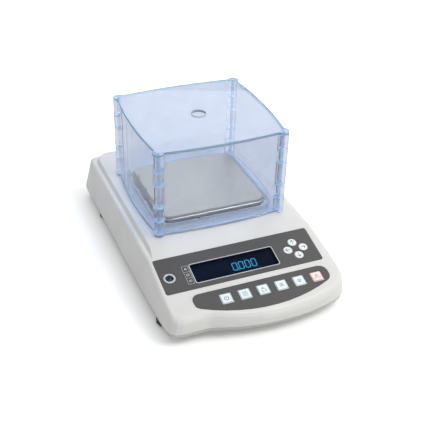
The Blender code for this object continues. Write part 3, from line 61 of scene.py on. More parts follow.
# Sloped front panel: its printed films, window and keys are placed in its own plane
PANEL_ORIGIN = Vector((0.0, -0.052, 0.056))
PANEL_RISE_SHARE = 0.2383
PANEL_SLOPE = math.atan(PANEL_RISE_SHARE)
ACROSS = Vector((1.0, 0.0, 0.0))
UPHILL = Vector((0.0, math.cos(PANEL_SLOPE), math.sin(PANEL_SLOPE)))
OUTWARD = ACROSS.cross(UPHILL)
FILM_TOP = 0.00015
KEY_TOP = 0.0004
MODULE_TOP = -0.00285
PRINT_THICKNESS = 0.00004
PRINT_LIFT = 0.00001
CORNER_STEPS = 6

WINDOW_LOW = (-0.057, -0.0600)
WINDOW_HIGH = (0.0386, -0.0352)
WINDOW_CORNER = 0.0018
WINDOW_LINE_GAP = 0.0003
WINDOW_LINE_WIDTH = 0.0007

# Number display
DIGIT_HEIGHT = 0.0098
DIGIT_WIDTH = 0.0050
DIGIT_PITCH = 0.0074
DIGIT_STROKE = 0.00095
DIGIT_LEFT = -0.0118
DIGIT_BASE = -0.0535
DIGIT_SLANT_SHARE = 0.06
SEGMENT_GAP = 0.0002
POINT_RADIUS = 0.0006
SHOWN_DIGITS = "0000"
SEGMENTS_OF = {"0": "abcdef"}
MARK_RING_RADIUS = 0.0011
MARK_RING_WIDTH = 0.0003
MARK_RING_PLACE = (-0.0520, -0.0520)
MARK_BAR_SIZE = (0.0070, 0.0005)
MARK_BAR_PLACE = (-0.0462, -0.0482)
UNIT_MARK_PLACE = (0.0215, -0.0520)

# Column of small signs at the left of the window
SIGN_COLUMN_LOW = (-0.0662, -0.0600)
SIGN_COLUMN_HIGH = (-0.0592, -0.0352)
SIGN_COLUMN_CORNER = 0.0008
SIGN_LINE_WIDTH = 0.00022
SIGN_COUNT = 3
SIGN_SIZE = 0.0016

# Signs on the keys
GLYPH_STROKE = 0.00055
GLYPH_HALF = 0.0026
ARROW_HEAD_SHARE = 0.8
POWER_GAP = math.radians(40)
POWER_STEPS = 28
WEIGHT_SHOULDER_SHARES = (0.7, 0.4)
WEIGHT_LINE_SHARE = 0.7
WEIGHT_RING_SHARE = 0.4
WEIGHT_RING_RISE_SHARE = 0.85
LINES_SHARES = (0.7, 0.6)
DOT_RING_SHARE = 0.8
FOOTED_RING_SHARE = 0.6
FOOTED_RING_RISE_SHARE = 0.3
FOOTED_LINE_SHARES = (0.5, 1.5)
FOOTED_LINE_DROP_SHARE = 0.8
KEY_PITCH = 0.021
KEY_FIRST = -0.035
KEY_ROW = -0.0878
KEY_HALF = 0.0064
KEY_RIM_WIDTH = 0.0005
KEY_RIM_INSET = 0.0004
KEY_CORNER = 0.0008
ARROW_CENTRE = (0.0648, -0.0451)
ARROW_STEP = 0.0093
ARROW_KEYS = {"up": (0, 1), "right": (1, 0), "down": (0, -1), "left": (-1, 0)}

# Round level
LEVEL_PLACE = (-0.083, -0.0469)
LEVEL_MARK_RADIUS = 0.0021
LEVEL_MARK_WIDTH = 0.00018
BUBBLE_RADIUS = 0.0014
BUBBLE_RISE_SHARE = 0.22
BUBBLE_SHIFT_SHARE = 1 / 3

# Black skirt under the plate: painted shade that stands in for the shadow beneath the plate
SHADE_SKIRT_INSET = 0.0026
SHADE_SKIRT_WALL = 0.0014
SHADE_SKIRT_EDGE = 0.0003
SHADE_SKIRT_CORNER = 0.0076
SHADE_SKIRT_FOOT = 0.0572
SHADE_SKIRT_HEAD = 0.0648

# Floor and light
FLOOR_HALF = 4.0
FLOOR_GREYS = (0.9, 0.92)
FLOOR_ROUGHNESS = 0.9
FLOOR_SPECULAR = 0.1
FLOOR_GLOW = 0.42
SHADOW_REACH = 0.03
SHADOW_SAMPLES = 8
SHADOW_GLOW_SHARE = 0.12
WORLD_COLOUR = (0.97, 0.985, 1.0, 1)
WORLD_LIGHT = 0.5
WORLD_SHOWN = 1.0
LAMP_SIZE = 1.0
LAMP_TARGET = Vector((0, 0, 0.05))
KEY_LAMP = {"place": (0.9, -0.7, 1.5), "power": 17.5, "colour": (1.0, 0.99, 0.97)}
BACK_LAMP = {"place": (0.5, 1.3, 1.3), "power": 6, "colour": (0.96, 0.98, 1.0)}

# Colours of the screen, and the angle past which a bend is a sharp edge
SRGB_LIMIT = 0.04045
SRGB_SLOPE = 12.92
SRGB_OFFSET = 0.055
SRGB_POWER = 2.4
SMOOTH_ANGLE = math.radians(32)

# Finishes: roughness from and to, or how far it runs below and above a material's own roughness
FILM_SHEEN = (0.38, 0.52)
RUBBER_SHEEN = (0.7, 0.85)
BOARD_SHEEN = (0.32, 0.45)
INK_SHEEN = (0.35, 0.5)
MOULDED_SPREAD = (-0.06, 0.08)
BRUSHED_SPREAD = (-0.05, 0.07)
CLEAR_SPREAD = (0.0, 0.03)
GLOW_ROUGHNESS = 0.5

# Finishes: shares by which a colour varies
FILM_MOTTLE_SHARE = 0.07
CLEAR_MOTTLE_SHARE = 0.03
LAMP_TINT_SHARE = 0.97
DUST_SHARE = 1.9
BOARD_PATCH_SHARE = 0.85
BOARD_TRACK_SHARE = 1.7
GLOW_BODY_SHARE = 0.2
GLOW_DIM_SHARE = 0.85
INK_DIM_SHARE = 0.92

# Cut edges of the clear sheets
EDGE_LIMIT = 0.6
EDGE_ROUGHNESS = 0.4
EDGE_CLARITY = 0.5


def linear(*values):
    """Scene-linear colour of an 8-bit screen colour, with alpha 1."""
    shares = [value / 255 for value in values]
    return tuple(share / SRGB_SLOPE if share <= SRGB_LIMIT
                 else ((share + SRGB_OFFSET) / (1 + SRGB_OFFSET)) ** SRGB_POWER
                 for share in shares) + (1.0,)


EDGE_COLOUR = linear(172, 200, 222)


# Meshes

def panel_point(x, v, n):
    """A point x across and v up the sloped panel, n above its surface."""
    return PANEL_ORIGIN + ACROSS * x + UPHILL * v + OUTWARD * n


def piece(name, bm, material, body):
    """A scene object from bm with the given material, riding on body."""
    bmesh.ops.recalc_face_normals(bm, faces=bm.faces)
    mesh = bpy.data.meshes.new(name)
    bm.to_mesh(mesh)
    bm.free()
    mesh.materials.append(material)
    obj = bpy.data.objects.new(name, mesh)
    bpy.context.scene.collection.objects.link(obj)
    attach(obj, body)
    return obj


def slab(bm, outline, base):
    """Adds a thin printed shape with the given closed outline, lying on the panel at height base."""
    low = [bm.verts.new(panel_point(x, v, base)) for x, v in outline]
    high = [bm.verts.new(panel_point(x, v, base + PRINT_THICKNESS)) for x, v in outline]
    bm.faces.new(low[::-1])
    bm.faces.new(high)
    for i, vert in enumerate(low):
        j = (i + 1) % len(low)
        bm.faces.new((vert, low[j], high[j], high[i]))


def close_rings(bm, rings):
    """Joins rings of as many vertices each to their next one, the last to the first."""
    for this, following in zip(rings, rings[1:] + rings[:1]):
        for i, vert in enumerate(this):
            j = (i + 1) % len(this)
            bm.faces.new((vert, this[j], following[j], following[i]))


def band(bm, outer, inner, base):
    """Adds a thin closed line between two outlines with as many points each."""
    top = base + PRINT_THICKNESS
    close_rings(bm, [[bm.verts.new(panel_point(x, v, n)) for x, v in outline]
                     for outline, n in ((outer, base), (outer, top), (inner, top), (inner, base))])


def rounded(low, high, corner, steps=CORNER_STEPS):
    """Outline of a rectangle with round corners, anticlockwise."""
    points = []
    centres = ((high[0] - corner, high[1] - corner), (low[0] + corner, high[1] - corner),
               (low[0] + corner, low[1] + corner), (high[0] - corner, low[1] + corner))
    for quarter, (x, v) in enumerate(centres):
        for step in range(steps + 1):
            angle = math.pi / 2 * (quarter + step / steps)
            points.append((x + corner * math.cos(angle), v + corner * math.sin(angle)))
    return points


def grown(low, high, by):
    """Corners of a rectangle that is larger by the given width all round."""
    return (low[0] - by, low[1] - by), (high[0] + by, high[1] + by)


def ring(radius, place, count=40):
    """Points of a circle in the panel's plane."""
    return [(place[0] + radius * math.cos(2 * math.pi * i / count),
             place[1] + radius * math.sin(2 * math.pi * i / count)) for i in range(count)]


def circle(bm, radius, width, place, base, count=40):
    """Adds a thin printed ring whose line runs inwards from radius."""
    band(bm, ring(radius, place, count), ring(radius - width, place, count), base)


def stroke(bm, start, end, base, width=GLYPH_STROKE):
    """Adds a straight printed line with square ends."""
    along = Vector((end[0] - start[0], end[1] - start[1])).normalized() * width / 2
    side = Vector((-along.y, along.x))
    first, last = Vector(start) - along, Vector(end) + along
    slab(bm, [tuple(point) for point in (first - side, last - side, last + side, first + side)], base)


def segment_outline(kind, left, base):
    """Outline of one bar of a seven-bar digit, slanted a little, with pointed ends."""
    half = DIGIT_STROKE / 2
    mid = DIGIT_HEIGHT / 2
    right = DIGIT_WIDTH
    lines = {"a": ((0, DIGIT_HEIGHT), (right, DIGIT_HEIGHT)), "b": ((right, mid), (right, DIGIT_HEIGHT)),
             "c": ((right, 0), (right, mid)), "d": ((0, 0), (right, 0)), "e": ((0, 0), (0, mid)),
             "f": ((0, mid), (0, DIGIT_HEIGHT)), "g": ((0, mid), (right, mid))}
    (x0, v0), (x1, v1) = lines[kind]
    start, end = Vector((x0, v0)), Vector((x1, v1))
    along = (end - start).normalized()
    side = Vector((-along.y, along.x)) * half
    start += along * SEGMENT_GAP
    end -= along * SEGMENT_GAP
    points = (start, start + along * half - side, end - along * half - side, end,
              end - along * half + side, start + along * half + side)
    return [(left + p.x + p.y * DIGIT_SLANT_SHARE, base + p.y) for p in points]


# Shader nodes

def new_material(name):
    """An empty node material with its Principled node."""
    material = bpy.data.materials.new(name)
    material.use_nodes = True
    tree = material.node_tree
    shader = tree.nodes["Principled BSDF"]
    return material, tree, shader


def position(tree, scale=(1, 1, 1)):
    """Object coordinates in metres, stretched by scale."""
    coordinates = tree.nodes.new("ShaderNodeTexCoord")
    mapping = tree.nodes.new("ShaderNodeMapping")
    mapping.inputs["Scale"].default_value = scale
    tree.links.new(coordinates.outputs["Object"], mapping.inputs["Vector"])
    return mapping.outputs["Vector"]


def noise(tree, vector, scale, detail=3.0, roughness=0.5):
    """Value of a noise texture, scale in repeats a metre."""
    node = tree.nodes.new("ShaderNodeTexNoise")
    node.inputs["Scale"].default_value = scale
    node.inputs["Detail"].default_value = detail
    node.inputs["Roughness"].default_value = roughness
    tree.links.new(vector, node.inputs["Vector"])
    return node.outputs["Fac"]


def ramp(tree, value, colour_low, colour_high, low=0.3, high=0.7):
    """Colour that runs from colour_low to colour_high while value runs from low to high."""
    node = tree.nodes.new("ShaderNodeValToRGB")
    node.color_ramp.elements[0].position = low
    node.color_ramp.elements[0].color = colour_low
    node.color_ramp.elements[1].position = high
    node.color_ramp.elements[1].color = colour_high
    tree.links.new(value, node.inputs["Fac"])
    return node.outputs["Color"]


def spread(tree, value, low, high):
    """Value moved from 0…1 to low…high."""
    node = tree.nodes.new("ShaderNodeMapRange")
    node.inputs["To Min"].default_value = low
    node.inputs["To Max"].default_value = high
    tree.links.new(value, node.inputs["Value"])
    return node.outputs["Result"]


def bump(tree, shader, height, depth):
    """Bumps of the given depth in metres on the shader's normal."""
    node = tree.nodes.new("ShaderNodeBump")
    node.inputs["Strength"].default_value = 1.0
    node.inputs["Distance"].default_value = depth
    tree.links.new(height, node.inputs["Height"])
    tree.links.new(node.outputs["Normal"], shader.inputs["Normal"])


def mottled(tree, shader, value, colour, share):
    """Base colour that gets lighter and darker by a share of the colour, following value."""
    tree.links.new(ramp(tree, value, shade(colour, 1 - share), shade(colour, 1 + share)),
                   shader.inputs["Base Color"])


def sheen(tree, shader, value, span, rough=0.0):
    """Roughness that runs through the span, counted from rough, following value."""
    low, high = span
    tree.links.new(spread(tree, value, rough + low, rough + high), shader.inputs["Roughness"])


def grey(value):
    """Scene-linear grey, with alpha 1."""
    return (value, value, value, 1)


def shade(colour, share):
    """The colour made darker or lighter by a share."""
    return tuple(min(1.0, value * share) for value in colour[:3]) + (1.0,)


def moulded(name, colour, grain=2200, depth=0.00002, rough=0.42, mottle=0.03, specular=0.5):
    """Moulded plastic: fine spark-eroded grain, faint large mottling, uneven sheen."""
    material, tree, shader = new_material(name)
    place = position(tree)
    wide = noise(tree, place, scale=28, detail=2)
    fine = noise(tree, place, scale=grain, detail=2, roughness=0.6)
    mottled(tree, shader, wide, colour, mottle)
    sheen(tree, shader, fine, MOULDED_SPREAD, rough)
    shader.inputs["Specular IOR Level"].default_value = specular
    bump(tree, shader, fine, depth)
    return material


def film(name, colour):
    """Printed polyester film: velvet grain and a slight sheen."""
    material, tree, shader = new_material(name)
    fine = noise(tree, position(tree), scale=4200, detail=2, roughness=0.7)
    mottled(tree, shader, fine, colour, FILM_MOTTLE_SHARE)
    sheen(tree, shader, fine, FILM_SHEEN)
    bump(tree, shader, fine, depth=0.000008)
    return material


def brushed(name, colour, stretch, rough=0.3, streak=0.10):
    """Brushed or turned metal: long fine streaks in colour, sheen and height."""
    material, tree, shader = new_material(name)
    streaks = noise(tree, position(tree, stretch), scale=60, detail=4, roughness=0.7)
    wide = noise(tree, position(tree), scale=16, detail=2)
    mottled(tree, shader, streaks, colour, streak)
    sheen(tree, shader, wide, BRUSHED_SPREAD, rough)
    shader.inputs["Metallic"].default_value = 1.0
    bump(tree, shader, streaks, depth=0.000012)
    return material


def rubber(name, colour):
    """Dull rubber with a dusty bloom."""
    material, tree, shader = new_material(name)
    place = position(tree)
    dust = noise(tree, place, scale=180, detail=4, roughness=0.7)
    fine = noise(tree, place, scale=1500, detail=2)
    tree.links.new(ramp(tree, dust, colour, shade(colour, DUST_SHARE), low=0.35, high=0.75),
                   shader.inputs["Base Color"])
    sheen(tree, shader, fine, RUBBER_SHEEN)
    bump(tree, shader, fine, depth=0.00002)
    return material


def laminate(name, colour):
    """Circuit board: solder mask over faint copper tracks."""
    material, tree, shader = new_material(name)
    tracks = tree.nodes.new("ShaderNodeTexBrick")
    tracks.inputs["Scale"].default_value = 160
    tracks.inputs["Mortar Size"].default_value = 0.06
    tracks.inputs["Color1"].default_value = colour
    tracks.inputs["Color2"].default_value = shade(colour, BOARD_PATCH_SHARE)
    tracks.inputs["Mortar"].default_value = shade(colour, BOARD_TRACK_SHARE)
    tree.links.new(position(tree), tracks.inputs["Vector"])
    tree.links.new(tracks.outputs["Color"], shader.inputs["Base Color"])
    sheen(tree, shader, tracks.outputs["Fac"], BOARD_SHEEN)
    bump(tree, shader, tracks.outputs["Fac"], depth=0.00003)
    return material


def edge_mask(tree, edge):
    """One on the cut edges of a clear sheet: its level faces if edge is "level", else its upright ones."""
    geometry = tree.nodes.new("ShaderNodeNewGeometry")
    parts = tree.nodes.new("ShaderNodeSeparateXYZ")
    tree.links.new(geometry.outputs["True Normal"], parts.inputs["Vector"])
    size = tree.nodes.new("ShaderNodeMath")
    size.operation = "ABSOLUTE"
    tree.links.new(parts.outputs["Z"], size.inputs[0])
    test = tree.nodes.new("ShaderNodeMath")
    test.operation = "GREATER_THAN" if edge == "level" else "LESS_THAN"
    test.inputs[1].default_value = EDGE_LIMIT
    tree.links.new(size.outputs["Value"], test.inputs[0])
    return test.outputs["Value"]


def blend(tree, kind, mask, socket, other):
    """The socket's value, and other where mask is one."""
    node = tree.nodes.new("ShaderNodeMix")
    node.data_type = kind
    first, last, result = (6, 7, 2) if kind == "RGBA" else (2, 3, 0)
    tree.links.new(mask, node.inputs[0])
    tree.links.new(socket, node.inputs[first])
    node.inputs[last].default_value = other
    return node.outputs[result]


def frost_edges(tree, shader, edge, clarity):
    """Makes the cut edges of a clear sheet, of the given clarity elsewhere, frosted and deeper in colour."""
    mask = edge_mask(tree, edge)
    colour, rough = shader.inputs["Base Color"], shader.inputs["Roughness"]
    tree.links.new(blend(tree, "RGBA", mask, colour.links[0].from_socket, EDGE_COLOUR), colour)
    tree.links.new(blend(tree, "FLOAT", mask, rough.links[0].from_socket, EDGE_ROUGHNESS), rough)
    tree.links.new(spread(tree, mask, clarity, EDGE_CLARITY), shader.inputs["Transmission Weight"])


def let_lamps_through(tree, shader, colour):
    """Shadow rays pass through the material and take on its colour."""
    through = tree.nodes.new("ShaderNodeBsdfTransparent")
    through.inputs["Color"].default_value = colour
    path = tree.nodes.new("ShaderNodeLightPath")
    mix = tree.nodes.new("ShaderNodeMixShader")
    tree.links.new(path.outputs["Is Shadow Ray"], mix.inputs["Fac"])
    tree.links.new(shader.outputs["BSDF"], mix.inputs[1])
    tree.links.new(through.outputs["BSDF"], mix.inputs[2])
    tree.links.new(mix.outputs["Shader"], tree.nodes["Material Output"].inputs["Surface"])


def clear(name, colour, rough, ior, haze=0.0, edge=None):
    """Clear moulded plastic or glass, with faint flow marks and haze. Lamps shine through it, tinted.

    The cut edges of a sheet are frosted, if edge says which faces they are.
    """
    material, tree, shader = new_material(name)
    flow = noise(tree, position(tree), scale=90, detail=3)
    mottled(tree, shader, flow, colour, CLEAR_MOTTLE_SHARE)
    sheen(tree, shader, flow, CLEAR_SPREAD, rough)
    shader.inputs["IOR"].default_value = ior
    shader.inputs["Transmission Weight"].default_value = 1.0 - haze
    bump(tree, shader, flow, depth=0.00001)
    if edge:
        frost_edges(tree, shader, edge, 1.0 - haze)
    let_lamps_through(tree, shader, shade(colour, LAMP_TINT_SHARE))
    return material


def glowing(name, colour, strength):
    """Lit display bars: a dark phosphor that glows a little unevenly."""
    material, tree, shader = new_material(name)
    grain = noise(tree, position(tree), scale=1600, detail=2)
    shader.inputs["Base Color"].default_value = shade(colour, GLOW_BODY_SHARE)
    shader.inputs["Roughness"].default_value = GLOW_ROUGHNESS
    tree.links.new(ramp(tree, grain, shade(colour, GLOW_DIM_SHARE), colour, low=0.2, high=0.8),
                   shader.inputs["Emission Color"])
    shader.inputs["Emission Strength"].default_value = strength
    return material


def ink(name, colour):
    """Screen-printed ink with a faintly uneven edge and gloss."""
    material, tree, shader = new_material(name)
    grain = noise(tree, position(tree), scale=5200, detail=2)
    tree.links.new(ramp(tree, grain, shade(colour, INK_DIM_SHARE), colour), shader.inputs["Base Color"])
    sheen(tree, shader, grain, INK_SHEEN)
    bump(tree, shader, grain, depth=0.000005)
    return material


MATERIALS = {
    "housing_top": moulded("housing_top_plastic", linear(229, 228, 225)),
    "housing_base": moulded("housing_base_plastic", linear(200, 199, 193)),
    "overlay_film": film("overlay_print", linear(77, 75, 74)),
    "window_pane": clear("window_tinted", linear(176, 196, 220), rough=0.02, ior=1.12),
    "display_body": moulded("display_face", linear(4, 14, 34), grain=900, rough=0.5, specular=0.1),
    "circuit_board": laminate("board_laminate", linear(28, 104, 62)),
    "level_metal": brushed("level_ring_metal", linear(205, 210, 214), (3, 3, 60), rough=0.28),
    "level_glass": clear("level_vial_glass", linear(96, 112, 108), rough=0.02, ior=1.49),
    "key_pale": moulded("key_pale_plastic", linear(246, 252, 253), grain=3000, depth=0.000006, rough=0.3),
    "key_pink": moulded("key_pink_plastic", linear(252, 238, 235), grain=3000, depth=0.000006, rough=0.3),
    "plate_steel": brushed("plate_brushed_steel", linear(164, 158, 146), (1, 24, 1), rough=0.34),
    "carrier_black": moulded("carrier_coating", linear(46, 47, 50), grain=1400, depth=0.00004, rough=0.5),
    "buffer_rubber": rubber("buffer_soft_rubber", linear(38, 38, 38)),
    "post_steel": brushed("post_turned_steel", linear(190, 192, 195), (2, 2, 90)),
    "cell_alloy": brushed("cell_milled_alloy", linear(214, 216, 218), (1, 12, 1), rough=0.34),
    "cell_casting": moulded("cell_cast_alloy", linear(160, 162, 165), grain=1100, depth=0.00005, rough=0.5),
    "screw_steel": brushed("screw_zinc_steel", linear(170, 172, 170), (3, 3, 70), rough=0.34),
    "foot_black": moulded("foot_moulded_black", linear(30, 30, 31), rough=0.5),
    "pad_rubber": rubber("pad_rubber_black", linear(34, 34, 34)),
    "shield_clear": clear("shield_clear_plastic", linear(231, 237, 248), rough=0.0, ior=1.13, haze=0.09,
                          edge="level"),
    "socket_black": moulded("socket_moulded_black", linear(28, 28, 29), rough=0.45),
    "socket_metal": brushed("socket_pressed_metal", linear(200, 202, 204), (40, 1, 1)),
}
OWN_MATERIALS = {
    "shield_lid": clear("lid_clear_plastic", linear(231, 237, 248), rough=0.0, ior=1.13, haze=0.09,
                        edge="upright"),
    "shield_base_frame": clear("frame_clear_plastic", linear(226, 231, 238), rough=0.02, ior=1.16,
                               haze=0.2),
}
WHITE_INK = ink("print_white", linear(232, 234, 236))
DARK_INK = ink("print_dark", linear(58, 66, 74))
BLUE_INK = ink("print_blue_grey", linear(120, 172, 186))
RED_INK = ink("print_red_grey", linear(188, 84, 84))
LIT = glowing("display_lit", linear(92, 206, 232), strength=1.1)
UNLIT = glowing("display_unlit", linear(30, 62, 96), strength=0.5)
BUBBLE = clear("level_bubble_air", linear(236, 244, 240), rough=0.0, ior=1.2)


def dress_nodes():
    """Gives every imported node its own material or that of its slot, and smooth shading off its edges."""
    for row in frame["record"]["subparts"]:
        node = NODES[row["node"]]
        material = OWN_MATERIALS.get(row["node"], MATERIALS[row["material_slot"]])
        if not node.data.materials:
            node.data.materials.append(material)
        for index in range(len(node.data.materials)):
            node.data.materials[index] = material
        node.data.shade_smooth()
        node.data.set_sharp_from_angle(angle=SMOOTH_ANGLE)
        even = node.modifiers.new("even_normals", "WEIGHTED_NORMAL")
        even.keep_sharp = True


def make_window_line():
    """The thin pale line printed round the window."""
    inner = grown(WINDOW_LOW, WINDOW_HIGH, WINDOW_LINE_GAP)
    outer = grown(*inner, WINDOW_LINE_WIDTH)
    bm = bmesh.new()
    band(bm, rounded(*outer, WINDOW_CORNER + WINDOW_LINE_GAP + WINDOW_LINE_WIDTH),
         rounded(*inner, WINDOW_CORNER + WINDOW_LINE_GAP), FILM_TOP + PRINT_LIFT)
    piece("window_line", bm, WHITE_INK, "housing")


def make_display_signs():
    """The lit number, its point, and the faint unlit marks, on the face of the display module."""
    base = MODULE_TOP + PRINT_LIFT
    lit, unlit = bmesh.new(), bmesh.new()
    for index, digit in enumerate(SHOWN_DIGITS):
        left = DIGIT_LEFT + DIGIT_PITCH * index
        for kind in "abcdefg":
            target = lit if kind in SEGMENTS_OF[digit] else unlit
            slab(target, segment_outline(kind, left, DIGIT_BASE), base)
    point = (DIGIT_LEFT + (DIGIT_WIDTH + DIGIT_PITCH) / 2, DIGIT_BASE)
    slab(lit, ring(POINT_RADIUS, point, 16), base)
    piece("lit_number", lit, LIT, "housing")
    for place in (MARK_RING_PLACE, UNIT_MARK_PLACE):
        circle(unlit, MARK_RING_RADIUS, MARK_RING_WIDTH, place, base)
    x, v = MARK_BAR_PLACE
    wide, tall = MARK_BAR_SIZE
    slab(unlit, [(x - wide / 2, v), (x + wide / 2, v), (x + wide / 2, v + tall), (x - wide / 2, v + tall)],
         base)
    piece("unlit_marks", unlit, UNLIT, "housing")


def make_sign_column():
    """A fine outlined column with three plain signs: a triangle, a ring and two slanted strokes."""
    base = FILM_TOP + PRINT_LIFT
    bm = bmesh.new()
    low, high = SIGN_COLUMN_LOW, SIGN_COLUMN_HIGH
    inner = grown(low, high, -SIGN_LINE_WIDTH)
    band(bm, rounded(low, high, SIGN_COLUMN_CORNER), rounded(*inner, SIGN_COLUMN_CORNER - SIGN_LINE_WIDTH),
         base)
    tall = (high[1] - low[1]) / SIGN_COUNT
    middle = (low[0] + high[0]) / 2
    for index in range(1, SIGN_COUNT):
        v = low[1] + tall * index
        stroke(bm, (inner[0][0] + SIGN_LINE_WIDTH, v), (inner[1][0] - SIGN_LINE_WIDTH, v), base,
               SIGN_LINE_WIDTH)
    places = [(middle, low[1] + tall * (index + 0.5)) for index in range(SIGN_COUNT)]
    x, v = places[2]
    slab(bm, [(x - SIGN_SIZE, v - SIGN_SIZE / 2), (x + SIGN_SIZE, v - SIGN_SIZE / 2), (x, v + SIGN_SIZE)],
         base)
    circle(bm, SIGN_SIZE, 2 * SIGN_LINE_WIDTH, places[1], base)
    x, v = places[0]
    for side in (-1, 1):
        stroke(bm, (x - SIGN_SIZE, v + side * SIGN_SIZE / 2 - SIGN_LINE_WIDTH),
               (x + SIGN_SIZE, v + side * SIGN_SIZE / 2 + SIGN_LINE_WIDTH), base, 2 * SIGN_LINE_WIDTH)
    piece("sign_column", bm, WHITE_INK, "housing")


def arrow(bm, place, way, base):
    """An arrow of three strokes at place, pointing along way."""
    way = Vector(way)
    side = Vector((-way.y, way.x))
    centre = Vector(place)
    tip = centre + way * GLYPH_HALF
    stroke(bm, tuple(centre - way * GLYPH_HALF), tuple(tip - way * GLYPH_STROKE), base)
    head = GLYPH_HALF * ARROW_HEAD_SHARE
    for turn in (-1, 1):
        stroke(bm, tuple(tip), tuple(tip - way * head + side * turn * head), base)


def make_arrow_signs():
    """A dark arrow on each of the four round keys."""
    for name, (right, up) in ARROW_KEYS.items():
        bm = bmesh.new()
        place = (ARROW_CENTRE[0] + right * ARROW_STEP, ARROW_CENTRE[1] + up * ARROW_STEP)
        arrow(bm, place, (right, up), KEY_TOP + PRINT_LIFT)
        piece(f"arrow_sign_{name}", bm, DARK_INK, f"arrow_key_{name}_body")


def power_sign(bm, x, v, base):
    """A ring that is open at its top, and an upright stroke in the gap."""
    span = 2 * math.pi - 2 * POWER_GAP
    angles = [POWER_GAP + span * i / POWER_STEPS for i in range(POWER_STEPS + 1)]
    outer, inner = ([(x + radius * math.sin(angle), v + radius * math.cos(angle)) for angle in angles]
                    for radius in (GLYPH_HALF, GLYPH_HALF - GLYPH_STROKE))
    for i in range(POWER_STEPS):
        slab(bm, [outer[i], outer[i + 1], inner[i + 1], inner[i]], base)
    stroke(bm, (x, v), (x, v + GLYPH_HALF), base)


def sheet_sign(bm, x, v, base):
    """A sheet with three lines on it."""
    half = GLYPH_HALF
    line = GLYPH_STROKE / 2
    sheet = ((x - half, v - half), (x + half, v + half))
    band(bm, rounded(*sheet, GLYPH_STROKE, 2), rounded(*grown(*sheet, -line), line, 2), base)
    for row in (-1, 0, 1):
        height = v + row * half / 2
        stroke(bm, (x - half / 2, height), (x + half / 2, height), base, line)


def weight_sign(bm, x, v, base):
    """The outline of a weight with a ring on top."""
    half = GLYPH_HALF
    wide, high = (half * share for share in WEIGHT_SHOULDER_SHARES)
    corners = ((x - half, v - half), (x + half, v - half), (x + wide, v + high), (x - wide, v + high))
    for first, last in zip(corners, corners[1:] + corners[:1]):
        stroke(bm, first, last, base, GLYPH_STROKE * WEIGHT_LINE_SHARE)
    place = (x, v + half * WEIGHT_RING_RISE_SHARE)
    circle(bm, half * WEIGHT_RING_SHARE, GLYPH_STROKE / 2, place, base, 20)


def lines_sign(bm, x, v, base):
    """Three lines."""
    wide, pitch = (GLYPH_HALF * share for share in LINES_SHARES)
    for row in (-1, 0, 1):
        stroke(bm, (x - wide, v + row * pitch), (x + wide, v + row * pitch), base)


def dot_sign(bm, x, v, base):
    """A ring with a dot in it."""
    circle(bm, GLYPH_HALF * DOT_RING_SHARE, GLYPH_STROKE, (x, v), base, 24)
    slab(bm, ring(GLYPH_STROKE, (x, v), 12), base)


def footed_ring_sign(bm, x, v, base):
    """A ring over two short lines."""
    place = (x, v + GLYPH_HALF * FOOTED_RING_RISE_SHARE)
    circle(bm, GLYPH_HALF * FOOTED_RING_SHARE, GLYPH_STROKE, place, base, 24)
    near, far = (GLYPH_HALF * share for share in FOOTED_LINE_SHARES)
    low = v - GLYPH_HALF * FOOTED_LINE_DROP_SHARE
    for turn in (-1, 1):
        stroke(bm, (x + turn * far, low), (x + turn * near, low), base)


KEY_SIGNS = (power_sign, sheet_sign, weight_sign, lines_sign, dot_sign, footed_ring_sign)


def make_key_signs():
    """A fine printed rim and a small plain sign on each of the six square keys; the last one is pink."""
    base = KEY_TOP + PRINT_LIFT
    for index, draw_sign in enumerate(KEY_SIGNS):
        x = KEY_FIRST + KEY_PITCH * index
        body = f"key_{index + 1}_body"
        pink = draw_sign is KEY_SIGNS[-1]
        outer = grown((x - KEY_HALF, KEY_ROW - KEY_HALF), (x + KEY_HALF, KEY_ROW + KEY_HALF), -KEY_RIM_INSET)
        inner = grown(*outer, -KEY_RIM_WIDTH)
        rim = bmesh.new()
        band(rim, rounded(*outer, KEY_CORNER), rounded(*inner, KEY_CORNER / 2), base)
        piece(f"key_rim_{index + 1}", rim, RED_INK if pink else BLUE_INK, body)
        sign = bmesh.new()
        draw_sign(sign, x, KEY_ROW, base)
        piece(f"key_sign_{index + 1}", sign, RED_INK if pink else DARK_INK, body)


def make_level_bubble():
    """The bubble and the ring mark on top of the level's vial."""
    x, v = LEVEL_PLACE
    top = max((vert.co - PANEL_ORIGIN).dot(OUTWARD) for vert in NODES["level_vial"].data.vertices)
    mark = bmesh.new()
    circle(mark, LEVEL_MARK_RADIUS, LEVEL_MARK_WIDTH, (x, v), top + PRINT_LIFT)
    piece("level_ring_mark", mark, DARK_INK, "housing")
    rise = BUBBLE_RADIUS * BUBBLE_RISE_SHARE
    centre = panel_point(x + BUBBLE_RADIUS * BUBBLE_SHIFT_SHARE, v, top + rise + PRINT_LIFT)
    turn = Matrix((ACROSS, UPHILL, OUTWARD)).transposed().to_4x4()
    bubble = bmesh.new()
    bmesh.ops.create_uvsphere(bubble, u_segments=24, v_segments=12, radius=BUBBLE_RADIUS)
    bmesh.ops.transform(bubble, matrix=Matrix.Translation(centre) @ turn
                        @ Matrix.Diagonal((1, 1, BUBBLE_RISE_SHARE, 1)), verts=bubble.verts)
    piece("level_bubble", bubble, BUBBLE, "housing").data.shade_smooth()


